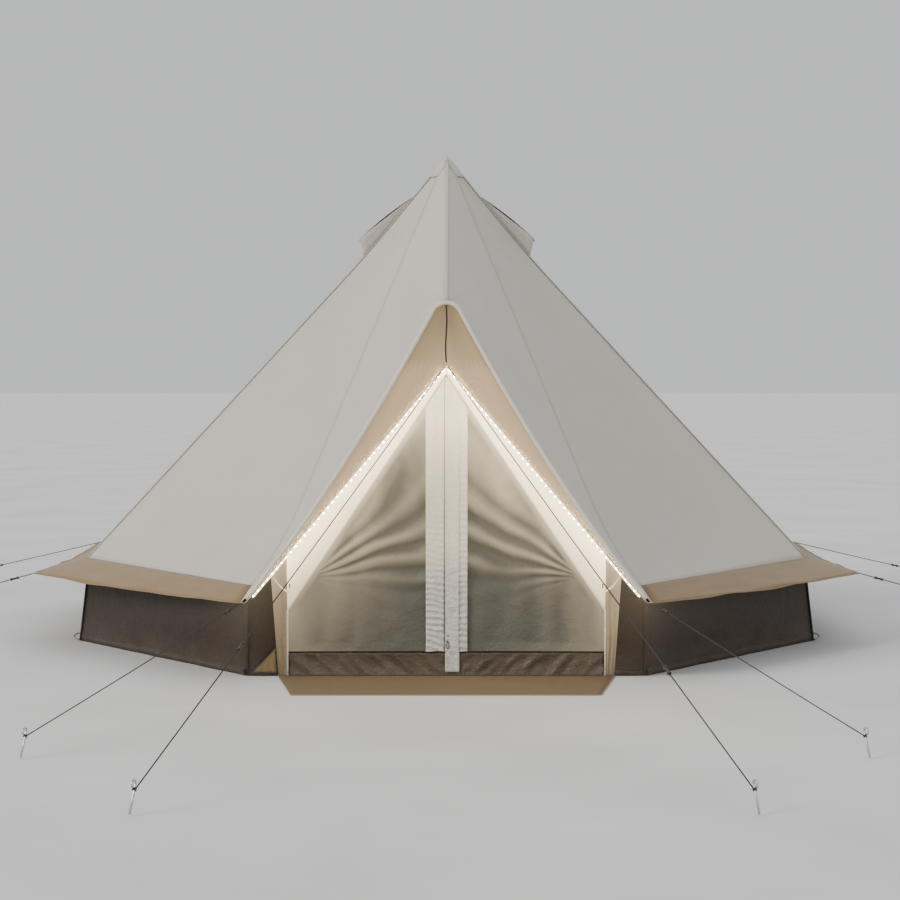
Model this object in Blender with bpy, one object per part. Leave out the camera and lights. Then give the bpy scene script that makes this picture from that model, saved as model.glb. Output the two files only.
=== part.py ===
"""Bell tent with an A-frame doorway, a projecting hood, two vents and ten guy lines.

Metres, +Z up. The origin is on the ground under the centre pole, and the doorway faces -Y.
Azimuths are in degrees, from the doorway's direction towards +X.
"""

import math

import bmesh
import bpy
import numpy as np
from mathutils import Vector

# Clearances and cloth
GAP = 0.0005  # between pieces that meet
CLOTH = 0.003  # walls, doors and floor
ROOF_CLOTH = 0.005  # the roof's cloth, measured straight down

# Floor plan: an octagon whose front side is splayed by the A-frame
ACROSS_FLATS = 3.96
CORNER_AZIMUTHS = (67.5, 112.5, 157.5)
HALF_SIDE = 22.5  # half the angle that one side of the octagon takes
DOOR_PLANE = -ACROSS_FLATS / 2
FRONT_BASE = Vector((0.955, DOOR_PLANE + 0.02, 0.0))  # the right front corner on the ground
FLOOR_INSET = 0.012

# Roof
PEAK_HEIGHT = 2.70
SHOULDER_RADIUS = 0.478
SHOULDER_HEIGHT = 2.139
SEAM_RADIUS = ACROSS_FLATS / 2 + 0.12
SEAM_HEIGHT = 0.447
EAVE_RADIUS = SEAM_RADIUS + 0.289
EAVE_HEIGHT = SEAM_HEIGHT - 0.072
WALL_HEAD_INSET = 0.01  # how far the wall's top corners lie inside the seam
FRONT_HIP_AZIMUTH = 23.6
FLARE_RADIUS = SEAM_RADIUS - 0.15  # where the front hips start to flare
FLARE_HEIGHT = SEAM_HEIGHT + 0.178
FRONT_SEAM_RADIUS = SEAM_RADIUS + 0.177
FRONT_SEAM_HEIGHT = SEAM_HEIGHT - 0.002
ROWS = 14  # rows of facets from the peak to the seam
CAP_RADIUS = 0.11
CAP_CLOTH = 0.003

# Hood over the doorway
HOOD_REACH = ACROSS_FLATS / 2 + 0.18  # the top of the hood, ahead of the pole
HOOD_TOP_HEIGHT = 1.765
HOOD_TOP_RADIUS = 0.071
HOOD_TOP_TURN = 61.0  # how far the rounded top turns on each side
HOOD_BEND = (0.512, 0.896)  # pulls the edge into its curve, as (x, z)
HOOD_END = Vector((0.945, -HOOD_REACH - 0.025, EAVE_HEIGHT - 0.003))
HOOD_ARC_STEPS = 3
HOOD_EDGE_STEPS = 8
RIDGE_ROWS = ROWS + 1 - HOOD_ARC_STEPS - HOOD_EDGE_STEPS
TRIM_RADIUS = 0.009
TRIM_END = 0.9  # share of the curved edge that the trim covers
GUSSET_END = 0.8
GUSSET_SETBACK = 0.004

# Front wall and doorway, right half
WALL_TOP = Vector((0.0, DOOR_PLANE - 0.005, HOOD_TOP_HEIGHT - 0.29))
WALL_TIP = Vector((HOOD_END.x - 0.015, HOOD_END.y + 0.035, HOOD_END.z))
PANEL_SPLIT = 0.88  # where the pale panel ends along the wall's top edge
DOORWAY_HALF_WIDTH = 0.755
PANEL_FOOT = Vector((DOORWAY_HALF_WIDTH + 0.045, DOOR_PLANE + 0.008, 0.0))
DOORWAY_KINK_HEIGHT = 0.315
DOORWAY_TOP_HEIGHT = WALL_TOP.z - 0.035
DOOR_CLEARANCE = 0.006
SILL_HEIGHT = 0.111
SPLIT_X = -0.008  # where the two leaves meet
STRIP_LEFT = -0.006
STRIP_RIGHT = 0.062
STRIP_BOTTOM = 0.02
ZIP_PULL_SIZE = (0.012, 0.004, 0.034)
ZIP_PULL_HEIGHT = 0.16
STRIP_TOP_GAP = 0.01  # below the leaf's slanted edge
MAT_BACK_HALF_WIDTH = DOORWAY_HALF_WIDTH + 0.045
MAT_FRONT_HALF_WIDTH = DOORWAY_HALF_WIDTH - 0.062
MAT_REACH = 0.524 - DOOR_PLANE
MAT_THICKNESS = 0.004
PORT_INSET = 0.008
PORT_WIDTH = 0.11
PORT_HEIGHT = 0.12
LED_WIDTH = 0.010
LED_DEPTH = 0.004
LED_START = 0.022
LED_END = 0.97
LED_STANDOFF = 0.004

# Frame
POLE_RADIUS = 0.016
POLE_UPPER_RADIUS = 0.0145
POLE_JOINT_HEIGHT = 1.30
POLE_TOP_CLEARANCE = 0.012  # under the cloth, at the pole's edge
FOOT_RADIUS = 0.045
FOOT_HEIGHT = 0.012
A_FRAME_RADIUS = 0.0095
A_FRAME_PLANE = DOOR_PLANE + 0.05
A_FRAME_FOOT_X = 0.80
A_FRAME_PEAK_HEIGHT = HOOD_TOP_HEIGHT + 0.172  # where the legs' lines would meet
A_FRAME_SLEEVE_HEIGHT = HOOD_TOP_HEIGHT - 0.145
A_FRAME_SLEEVE_RADIUS = 0.0115
A_FRAME_BEND_STEPS = 8

# Vents in the left and right roof panels
VENT_ROW = 2  # the row of facets that the opening takes
VENT_SHARES = (0.2, 0.8)  # the opening's sides, across the panel
VENT_MESH_SHARES = (0.12, 0.88)  # the mesh's sides, across the panel
VENT_TOP_X = 0.19
VENT_TOP_HALF_WIDTH = 0.05
VENT_TIP = (0.496, SHOULDER_HEIGHT + 0.071)  # the hood's lower edge, as (x, z)
VENT_TIP_HALF_WIDTH = 0.19

# Guy lines
ROPE_RADIUS = 0.0025
ROPE_SAG = 0.002  # per metre of rope
STAKE_RADIUS = 0.004
STAKE_HEIGHT = 0.10
STAKE_HOLD_HEIGHT = 0.08
STAKE_LEAN = 0.04
STAKE_FOOT_SHARE = 0.75  # how much of the lean lies beyond the stake's place
STAKE_HOOK = ((0.004, 0.008), (0.014, 0.010), (0.022, 0.002), (0.024, -0.010))  # out, up
SLIDER_LENGTH = 0.045
SLIDER_RADIUS = 0.008
SLIDER_BORE = 0.0036
RING_RADIUS = 0.012
RING_WIRE = 0.0022
RING_CENTRE = WALL_TOP + Vector((0.0, -0.03, 0.001))
RING_LINE_OFFSET = (0.0085, -0.0045, -0.0085)  # where a line is tied to the ring
STRAP_WIDTH = 0.012
STRAP_THICKNESS = 0.002

# name: (stake x, stake y, share of the rope where the slider sits, points)
GUY_LINES = {
    "door_left": (-1.01, -4.69, 0.737, 24),
    "door_right": (1.01, -4.69, 0.785, 24),
    "front_left": (-1.57, -3.82, 0.072, 16),
    "front_right": (1.57, -3.82, 0.072, 16),
    "side_left": (-3.40, -1.41, 0.075, 14),
    "side_right": (3.40, -1.41, 0.075, 14),
    "back_side_left": (-3.40, 1.41, 0.60, 14),
    "back_side_right": (3.40, 1.41, 0.60, 14),
    "back_left": (-1.14, 2.75, 0.30, 12),
    "back_right": (1.14, 2.75, 0.30, 12),
}
LINE_CORNERS = dict(zip(("front", "side", "back_side", "back"), (FRONT_HIP_AZIMUTH, *CORNER_AZIMUTHS)))

COLOURS = {  # name: (colour, roughness, metallic)
    "roof_cloth": ((0.66, 0.63, 0.57), 0.85, 0.0),
    "band_cloth": ((0.42, 0.31, 0.18), 0.8, 0.0),
    "wall_cloth": ((0.10, 0.065, 0.03), 0.8, 0.0),
    "cream_cloth": ((0.78, 0.70, 0.55), 0.85, 0.0),
    "gusset_cloth": ((0.40, 0.27, 0.13), 0.8, 0.0),
    "door_cloth": ((0.45, 0.44, 0.38), 0.6, 0.0),
    "strip_cloth": ((0.80, 0.78, 0.70), 0.7, 0.0),
    "sill_cloth": ((0.24, 0.17, 0.11), 0.35, 0.0),
    "mat_cloth": ((0.38, 0.29, 0.18), 0.7, 0.0),
    "floor_cloth": ((0.12, 0.10, 0.08), 0.5, 0.0),
    "vent_mesh": ((0.05, 0.05, 0.05), 0.8, 0.0),
    "led": ((1.0, 0.93, 0.80), 0.3, 0.0),
    "webbing": ((0.02, 0.02, 0.02), 0.7, 0.0),
    "rope": ((0.015, 0.015, 0.015), 0.8, 0.0),
    "plastic": ((0.02, 0.02, 0.022), 0.4, 0.0),
    "steel": ((0.55, 0.56, 0.58), 0.3, 1.0),
}


def material(name):
    """The named material, made once."""
    if name in bpy.data.materials:
        return bpy.data.materials[name]
    colour, roughness, metallic = COLOURS[name]
    made = bpy.data.materials.new(name)
    made.use_nodes = True
    shader = made.node_tree.nodes["Principled BSDF"]
    shader.inputs["Base Color"].default_value = (*colour, 1.0)
    shader.inputs["Roughness"].default_value = roughness
    shader.inputs["Metallic"].default_value = metallic
    made.diffuse_color = (*colour, 1.0)
    return made


def finish_mesh(name, bm, finish, origin=(0.0, 0.0, 0.0), smooth_angle=None):
    """Turn a bmesh in world coordinates into an object whose origin is at the given point."""
    origin = Vector(origin)
    bmesh.ops.translate(bm, verts=bm.verts[:], vec=-origin)
    bmesh.ops.recalc_face_normals(bm, faces=bm.faces[:])
    mesh = bpy.data.meshes.new(name)
    bm.to_mesh(mesh)
    bm.free()
    if smooth_angle:
        mesh.shade_smooth()
        mesh.set_sharp_from_angle(angle=math.radians(smooth_angle))
    made = bpy.data.objects.new(name, mesh)
    made.location = origin
    made.data.materials.append(material(finish))
    bpy.context.collection.objects.link(made)
    return made


def thicken(bm, shift):
    """Close an open sheet into a solid by sweeping it along one vector."""
    bmesh.ops.remove_doubles(bm, verts=bm.verts[:], dist=1e-6)
    bmesh.ops.triangulate(bm, faces=bm.faces[:])
    swept = bmesh.ops.extrude_face_region(bm, geom=bm.faces[:])["geom"]
    moved = [item for item in swept if isinstance(item, bmesh.types.BMVert)]
    bmesh.ops.translate(bm, verts=moved, vec=Vector(shift))


def sheet(name, outlines, shift, finish, origin=(0.0, 0.0, 0.0)):
    """A sheet of one or more flat outlines that share edges, as a closed solid."""
    bm = bmesh.new()
    for outline in outlines:
        bm.faces.new([bm.verts.new(point) for point in outline])
    thicken(bm, shift)
    return finish_mesh(name, bm, finish, origin)


def tube(name, points, radius, finish, resolution=2):
    """A round tube with filled ends along the given points."""
    curve = bpy.data.curves.new(name, "CURVE")
    curve.dimensions = "3D"
    curve.bevel_depth = radius
    curve.bevel_resolution = resolution
    curve.use_fill_caps = True
    spline = curve.splines.new("POLY")
    spline.points.add(len(points) - 1)
    for point, place in zip(spline.points, points):
        point.co = (*place, 1.0)
    spline.use_smooth = True
    made = bpy.data.objects.new(name, curve)
    made.data.materials.append(material(finish))
    bpy.context.collection.objects.link(made)
    return made


def cylinder(name, radius, bottom, top, finish, segments=20):
    """An upright round solid under the peak."""
    bm = bmesh.new()
    bmesh.ops.create_cone(
        bm, cap_ends=True, segments=segments, radius1=radius, radius2=radius, depth=top - bottom
    )
    bmesh.ops.translate(bm, verts=bm.verts[:], vec=(0.0, 0.0, (top + bottom) / 2))
    return finish_mesh(name, bm, finish, smooth_angle=40)


def bar(name, start, end, across, through, finish, origin=(0.0, 0.0, 0.0)):
    """A straight bar whose section is spanned by two vectors."""
    sides = ((-0.5, -0.5), (0.5, -0.5), (0.5, 0.5), (-0.5, 0.5))
    bm = bmesh.new()
    bm.faces.new([bm.verts.new(start + across * a + through * b) for a, b in sides])
    thicken(bm, end - start)
    return finish_mesh(name, bm, finish, origin)


def attach(piece, carrier):
    """Parent a piece to the one that carries it, leaving it where it is."""
    piece.parent = carrier
    piece.location -= carrier.location


def mirrored(point):
    """The same point on the tent's left side."""
    return Vector((-point[0], point[1], point[2]))


def polar(radius, azimuth, height):
    """A point at a distance from the pole, an azimuth and a height."""
    angle = math.radians(azimuth)
    return Vector((radius * math.sin(angle), -radius * math.cos(angle), height))


def hip(azimuth, share):
    """A point on a roof hip, from the peak at 0 to the eave seam at 1."""
    if abs(azimuth) == FRONT_HIP_AZIMUTH:
        radii = (0.0, FLARE_RADIUS, FRONT_SEAM_RADIUS)
        heights = (PEAK_HEIGHT, FLARE_HEIGHT, FRONT_SEAM_HEIGHT)
    else:
        radii = (0.0, SHOULDER_RADIUS, SEAM_RADIUS)
        heights = (PEAK_HEIGHT, SHOULDER_HEIGHT, SEAM_HEIGHT)
    radius = share * radii[-1]
    return polar(radius, azimuth, float(np.interp(radius, radii, heights)))


def eave_tip(azimuth):
    """The pulled-out corner of the eave on one hip."""
    return polar(EAVE_RADIUS, azimuth, EAVE_HEIGHT)


def hip_azimuths():
    """The eight hips, from the right front corner round the back to the left front corner."""
    right = (FRONT_HIP_AZIMUTH, *CORNER_AZIMUTHS)
    return (*right, *(-azimuth for azimuth in reversed(right)))


def hood_edge(offset, end=1.0):
    """Points along the right half of the hood's edge, from its top, moved outwards by an offset."""
    turn = math.radians(HOOD_TOP_TURN)
    centre = Vector((0.0, HOOD_TOP_HEIGHT - HOOD_TOP_RADIUS))
    flat = []
    for step in range(HOOD_ARC_STEPS):
        angle = turn * step / HOOD_ARC_STEPS
        outward = Vector((math.sin(angle), math.cos(angle)))
        flat.append((centre + outward * HOOD_TOP_RADIUS, outward))
    start = centre + Vector((math.sin(turn), math.cos(turn))) * HOOD_TOP_RADIUS
    bend = Vector(HOOD_BEND)
    last = Vector((HOOD_END.x, HOOD_END.z))
    for step in range(HOOD_EDGE_STEPS + 1):
        t = end * step / HOOD_EDGE_STEPS
        place = start * (1 - t) ** 2 + bend * 2 * t * (1 - t) + last * t**2
        along = ((bend - start) * (1 - t) + (last - bend) * t).normalized()
        flat.append((place, Vector((-along.y, along.x))))
    points = []
    for place, outward in flat:
        x, z = place + outward * offset
        y = -HOOD_REACH + (HOOD_END.y + HOOD_REACH) * (HOOD_TOP_HEIGHT - place.y) / (
            HOOD_TOP_HEIGHT - HOOD_END.z
        )
        points.append(Vector((x, y, z)))
    return points


def wall_line(share):
    """A point on the right top edge of the front wall, from its top at 0 to the eave corner at 1."""
    return WALL_TOP.lerp(WALL_TIP, share)


def base_corner(azimuth, inset=0.0):
    """A corner of the floor plan, moved inwards by an inset."""
    if abs(azimuth) == FRONT_HIP_AZIMUTH:
        corner = FRONT_BASE + Vector((-inset, inset, 0.0))
        return corner if azimuth > 0 else mirrored(corner)
    radius = (ACROSS_FLATS / 2 - inset) / math.cos(math.radians(HALF_SIDE))
    return polar(radius, azimuth, 0.0)


def wall_top_corner(azimuth):
    """The top of a wall corner, under the eave."""
    if abs(azimuth) == FRONT_HIP_AZIMUTH:
        return WALL_TIP.copy() if azimuth > 0 else mirrored(WALL_TIP)
    return polar(SEAM_RADIUS - WALL_HEAD_INSET, azimuth, SEAM_HEIGHT - ROOF_CLOTH - GAP)


def make_canopy():
    """The roof: one sheet with seven side panels, two front gores and two vent openings."""
    bm = bmesh.new()
    azimuths = hip_azimuths()
    for left, right in zip(azimuths, azimuths[1:]):
        vent = abs(left + right) == 180.0
        shares = (0.0, *VENT_SHARES, 1.0) if vent else (0.0, 1.0)
        rows = []
        for row in range(ROWS + 1):
            ends = hip(left, row / ROWS), hip(right, row / ROWS)
            rows.append([ends[0].lerp(ends[1], share) for share in shares])
        for row in range(ROWS):
            for column in range(len(shares) - 1):
                if vent and row == VENT_ROW and column == 1:
                    continue
                upper, lower = rows[row], rows[row + 1]
                corners = [upper[column], lower[column], lower[column + 1], upper[column + 1]]
                add_face(bm, corners)
    peak = Vector((0.0, 0.0, PEAK_HEIGHT))
    edge = hood_edge(TRIM_RADIUS + ROOF_CLOTH + 2 * GAP)
    ridge = [peak.lerp(edge[0], row / RIDGE_ROWS) for row in range(RIDGE_ROWS)]
    inner = [*ridge, *edge[:-1]]
    outer = [hip(FRONT_HIP_AZIMUTH, row / ROWS) for row in range(ROWS + 1)]
    tip = eave_tip(FRONT_HIP_AZIMUTH)
    for side in (Vector, mirrored):
        for row in range(ROWS):
            add_face(bm, [side(p) for p in (inner[row], inner[row + 1], outer[row + 1], outer[row])])
        add_face(bm, [side(p) for p in (inner[ROWS], tip, outer[ROWS])])
    thicken(bm, (0.0, 0.0, -ROOF_CLOTH))
    return finish_mesh("canopy", bm, "roof_cloth")


def add_face(bm, corners):
    """Add a face, leaving out a corner that repeats the one before it."""
    kept = [c for i, c in enumerate(corners) if (c - corners[i - 1]).length > 1e-6]
    bm.faces.new([bm.verts.new(corner) for corner in kept])


def make_eave_band():
    """The coloured band between the eave seam and the pulled-out corners."""
    bm = bmesh.new()
    azimuths = hip_azimuths()
    for left, right in zip(azimuths, azimuths[1:]):
        seam = []
        for azimuth in (left, right):
            inner = hip(azimuth, 1.0)
            outward = eave_tip(azimuth) - inner
            seam.append(inner + outward.normalized() * 2 * GAP)
        add_face(bm, [seam[0], eave_tip(left), eave_tip(right), seam[1]])
    front = hip_azimuths()[0]
    for vert in bm.verts:
        if (Vector((abs(vert.co.x), vert.co.y, vert.co.z)) - eave_tip(front)).length < 1e-6:
            vert.co.y += 2 * GAP
            vert.co.x += math.copysign(2 * GAP, vert.co.x)
    thicken(bm, (0.0, 0.0, -ROOF_CLOTH))
    return finish_mesh("eave_band", bm, "band_cloth")


def make_peak_cap():
    """The stitched cap over the peak."""
    bm = bmesh.new()
    azimuths = hip_azimuths()
    lift = Vector((0.0, 0.0, 2 * GAP + CAP_CLOTH))
    peak = Vector((0.0, 0.0, PEAK_HEIGHT)) + lift
    ring = [hip(azimuth, CAP_RADIUS / SEAM_RADIUS) + lift for azimuth in azimuths]
    ridge_end = hood_edge(TRIM_RADIUS + ROOF_CLOTH + 2 * GAP)[0] + lift
    front = peak.lerp(ridge_end, CAP_RADIUS / HOOD_REACH)
    outline = [*ring, front]
    for index, corner in enumerate(outline):
        bm.faces.new([bm.verts.new(p) for p in (peak, corner, outline[index - 1])])
    thicken(bm, (0.0, 0.0, -CAP_CLOTH))
    return finish_mesh("peak_cap", bm, "roof_cloth")


def make_walls():
    """The left and right halves of the dark side wall, each from the pale panel to the back."""
    azimuths = (FRONT_HIP_AZIMUTH, *CORNER_AZIMUTHS)
    panel_top = wall_line(PANEL_SPLIT) + (WALL_TIP - WALL_TOP).normalized() * 2 * GAP
    bottom = [PANEL_FOOT + Vector((2 * GAP, 0.0, 0.0))]
    bottom += [base_corner(azimuth) for azimuth in azimuths]
    top = [panel_top, *(wall_top_corner(azimuth) for azimuth in azimuths)]
    for row in (bottom, top):
        row.append(Vector((GAP, row[-1].y, row[-1].z)))
    for side, name in ((Vector, "side_wall_right"), (mirrored, "side_wall_left")):
        bm = bmesh.new()
        outer_bottom = [side(point) for point in bottom]
        outer_top = [side(point) for point in top]
        thick_wall(bm, outer_bottom, outer_top)
        finish_mesh(name, bm, "wall_cloth")


def thick_wall(bm, bottom, top):
    """A folded wall between a bottom line and a top line, thickened towards the pole."""
    rows = []
    for low, high in zip(bottom, top):
        inward = -Vector((low.x, low.y, 0.0)).normalized()
        if abs(low.x) < abs(FRONT_BASE.x) and low.y < 0:
            inward = Vector((0.0, 1.0, 0.0))
        if abs(low.x) < 2 * GAP:
            inward = Vector((0.0, -1.0, 0.0))
        step = inward * CLOTH
        rows.append([bm.verts.new(p) for p in (low, high, high + step, low + step)])
    for near, far in zip(rows, rows[1:]):
        for first, second in ((0, 1), (3, 2)):
            bm.faces.new([near[first], near[second], far[second]])
            bm.faces.new([near[first], far[second], far[first]])
        for first, second in ((1, 2), (3, 0)):
            bm.faces.new([near[first], near[second], far[second], far[first]])
    bm.faces.new(rows[0])
    bm.faces.new(reversed(rows[-1]))


def make_front_wall():
    """The pale wall round the doorway, as one inverted V."""
    top = wall_line(PANEL_SPLIT)
    foot = Vector((DOORWAY_HALF_WIDTH, DOOR_PLANE, 0.0))
    kink = Vector((DOORWAY_HALF_WIDTH, DOOR_PLANE, DOORWAY_KINK_HEIGHT))
    apex = Vector((0.0, DOOR_PLANE, DOORWAY_TOP_HEIGHT))
    outlines = []
    for side in (Vector, mirrored):
        outlines.append([side(p) for p in (WALL_TOP, top, kink)])
        outlines.append([side(p) for p in (WALL_TOP, kink, apex)])
        outlines.append([side(p) for p in (top, PANEL_FOOT, foot)])
        outlines.append([side(p) for p in (top, foot, kink)])
    return sheet("front_wall", outlines, (0.0, CLOTH, 0.0), "cream_cloth")


def make_hood():
    """The hood's rolled trim and the brown gusset under it."""
    edge = hood_edge(0.0, TRIM_END)
    points = [mirrored(point) for point in reversed(edge)] + edge[1:]
    tube("hood_trim", points, TRIM_RADIUS, "strip_cloth")
    upper = hood_edge(-TRIM_RADIUS - 2 * GAP, GUSSET_END)
    count = len(upper) - 1
    shares = [(WALL_TOP.z - z) / (WALL_TOP.z - WALL_TIP.z) for z in gusset_heights(upper)]
    along = (WALL_TIP - WALL_TOP).normalized()
    up = Vector((-along.z, 0.0, along.x)).normalized()
    lower = [wall_line(share) + up * 4 * GAP for share in shares]
    lower[0] = Vector((0.0, WALL_TOP.y, WALL_TOP.z + 6 * GAP))
    back = Vector((0.0, GUSSET_SETBACK, 0.0))
    outlines = []
    for side in (Vector, mirrored):
        for i in range(count):
            quad = (upper[i] + back, upper[i + 1] + back, lower[i + 1], lower[i])
            outlines.append([side(p) for p in (quad[0], quad[1], quad[2])])
            outlines.append([side(p) for p in (quad[0], quad[2], quad[3])])
    sheet("hood_gusset", outlines, (0.0, CLOTH, 0.0), "gusset_cloth")


def gusset_heights(upper):
    """Heights on the wall's top edge that face the points of the hood's edge."""
    lowest = upper[-1].z
    span = upper[0].z - lowest
    return [WALL_TOP.z - (upper[0].z - point.z) / span * (WALL_TOP.z - lowest) for point in upper]


def make_door():
    """Two leaves, the strip that covers their zip, the zip pull and the sill."""
    slope = Vector((DOORWAY_HALF_WIDTH, 0.0, DOORWAY_KINK_HEIGHT - DOORWAY_TOP_HEIGHT)).normalized()
    inward = Vector((slope.z, 0.0, -slope.x))
    kink_x = DOORWAY_HALF_WIDTH - DOOR_CLEARANCE
    top_point = Vector((0.0, DOOR_PLANE, DOORWAY_TOP_HEIGHT)) + inward * DOOR_CLEARANCE
    bottom = SILL_HEIGHT + DOOR_CLEARANCE - GAP
    kink_height = leaf_height(kink_x, slope, top_point)

    def leaf(inner_x, side):
        inner_top = leaf_height(abs(inner_x), slope, top_point)
        corners = [
            Vector((inner_x, DOOR_PLANE, bottom)),
            Vector((side * kink_x, DOOR_PLANE, bottom)),
            Vector((side * kink_x, DOOR_PLANE, kink_height)),
            Vector((inner_x, DOOR_PLANE, inner_top)),
        ]
        return corners

    middle = (kink_height + leaf_height(0.0, slope, top_point)) / 2
    for name, inner_x, side in (
        ("door_left", SPLIT_X - GAP, -1),
        ("door_right", SPLIT_X + GAP, 1),
    ):
        origin = Vector((side * kink_x / 2, DOOR_PLANE + CLOTH / 2, middle))
        right_leaf = sheet(name, [leaf(inner_x, side)], (0.0, CLOTH, 0.0), "door_cloth", origin)
    strip_plane = DOOR_PLANE - GAP
    strip_top = leaf_height(STRIP_RIGHT, slope, top_point) - STRIP_TOP_GAP
    strip = [
        Vector((STRIP_LEFT, strip_plane, STRIP_BOTTOM)),
        Vector((STRIP_RIGHT, strip_plane, STRIP_BOTTOM)),
        Vector((STRIP_RIGHT, strip_plane, strip_top)),
        Vector((STRIP_LEFT, strip_plane, strip_top)),
    ]
    strip_piece = sheet("door_strip", [strip], (0.0, -CLOTH, 0.0), "strip_cloth")
    attach(strip_piece, right_leaf)
    width, depth, height = ZIP_PULL_SIZE
    pull_plane = strip_plane - CLOTH - GAP - depth / 2
    low = Vector((STRIP_LEFT + width, pull_plane, ZIP_PULL_HEIGHT))
    high = low + Vector((0.0, 0.0, height))
    pull = bar("zip_pull", low, high, Vector((width, 0, 0)), Vector((0, depth, 0)), "plastic", low)
    attach(pull, right_leaf)
    sill_half = DOORWAY_HALF_WIDTH - DOOR_CLEARANCE
    sill = [
        Vector((-sill_half, DOOR_PLANE, 0.0)),
        Vector((sill_half, DOOR_PLANE, 0.0)),
        Vector((sill_half, DOOR_PLANE, SILL_HEIGHT)),
        Vector((-sill_half, DOOR_PLANE, SILL_HEIGHT)),
    ]
    sheet("door_sill", [sill], (0.0, CLOTH, 0.0), "sill_cloth")


def leaf_height(x, slope, top_point):
    """The height of a leaf's slanted edge at a distance from the doorway's middle."""
    return top_point.z + (x - top_point.x) * slope.z / slope.x


def make_port_flap():
    """The three-cornered flap over the cable port, low on the left front corner."""
    sideways = FRONT_BASE - PANEL_FOOT
    upwards = WALL_TIP - PANEL_FOOT

    def on_wall(across, height):
        rise = height / upwards.z
        share = (across - rise * upwards.x) / sideways.x
        place = PANEL_FOOT + upwards * rise + sideways * share
        return mirrored(place + Vector((0.0, -4 * GAP, 0.0)))

    low = STRIP_BOTTOM
    near = PORT_INSET
    corners = [on_wall(near, low), on_wall(near, low + PORT_HEIGHT), on_wall(near + PORT_WIDTH, low)]
    middle = (corners[1] + corners[2]) / 2
    return sheet("port_flap", [corners], (0.0, -CLOTH, 0.0), "sill_cloth", middle)


def make_floor():
    """The groundsheet and the mat in front of the doorway."""
    outline = [base_corner(azimuth, FLOOR_INSET) for azimuth in hip_azimuths()]
    sheet("groundsheet", [outline], (0.0, 0.0, CLOTH), "floor_cloth")
    back = DOOR_PLANE - 4 * GAP - CLOTH
    mat = [
        Vector((-MAT_BACK_HALF_WIDTH, back, 0.0)),
        Vector((MAT_BACK_HALF_WIDTH, back, 0.0)),
        Vector((MAT_FRONT_HALF_WIDTH, -MAT_REACH, 0.0)),
        Vector((-MAT_FRONT_HALF_WIDTH, -MAT_REACH, 0.0)),
    ]
    sheet("entry_mat", [mat], (0.0, 0.0, MAT_THICKNESS), "mat_cloth")


def make_lights():
    """The two light strips along the top edges of the front wall."""
    along = WALL_TIP - WALL_TOP
    across = Vector((-along.z, 0.0, along.x)).normalized() * LED_WIDTH
    depth = Vector((0.0, LED_DEPTH, 0.0))
    out = Vector((0.0, -LED_STANDOFF, 0.0)) - across * (0.5 + 2 * GAP / LED_WIDTH)
    for side, name in ((Vector, "led_strip_right"), (mirrored, "led_strip_left")):
        start = side(wall_line(LED_START) + out)
        end = side(wall_line(LED_END) + out)
        bar(name, start, end, side(across), depth, "led")


def make_frame():
    """The two-part centre pole on its foot, and the A-frame behind the front wall."""
    foot_bottom = CLOTH + GAP
    edge_share = POLE_UPPER_RADIUS / math.cos(math.radians(HALF_SIDE)) / SEAM_RADIUS
    pole_top = hip(CORNER_AZIMUTHS[0], edge_share).z - ROOF_CLOTH - POLE_TOP_CLEARANCE
    cylinder("pole_foot", FOOT_RADIUS, foot_bottom, foot_bottom + FOOT_HEIGHT, "plastic", 24)
    cylinder(
        "pole_lower", POLE_RADIUS, foot_bottom + FOOT_HEIGHT + GAP, POLE_JOINT_HEIGHT, "steel"
    )
    cylinder("pole_upper", POLE_UPPER_RADIUS, POLE_JOINT_HEIGHT + GAP, pole_top, "steel")
    foot = Vector((A_FRAME_FOOT_X, A_FRAME_PLANE, CLOTH + A_FRAME_RADIUS))
    top = Vector((0.0, A_FRAME_PLANE, A_FRAME_PEAK_HEIGHT))
    share = (A_FRAME_SLEEVE_HEIGHT - foot.z) / (top.z - foot.z)
    sleeve_end = foot.lerp(top, share)
    leg_end = sleeve_end + (foot - top).normalized() * 8 * GAP
    for side, name in ((Vector, "a_frame_leg_right"), (mirrored, "a_frame_leg_left")):
        tube(name, [side(foot), side(leg_end)], A_FRAME_RADIUS, "steel", 3)
    bend = []
    for step in range(A_FRAME_BEND_STEPS + 1):
        t = step / A_FRAME_BEND_STEPS
        left, right = mirrored(sleeve_end), sleeve_end
        bend.append(left * (1 - t) ** 2 + top * 2 * t * (1 - t) + right * t**2)
    tube("a_frame_elbow", bend, A_FRAME_SLEEVE_RADIUS, "steel", 3)


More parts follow.
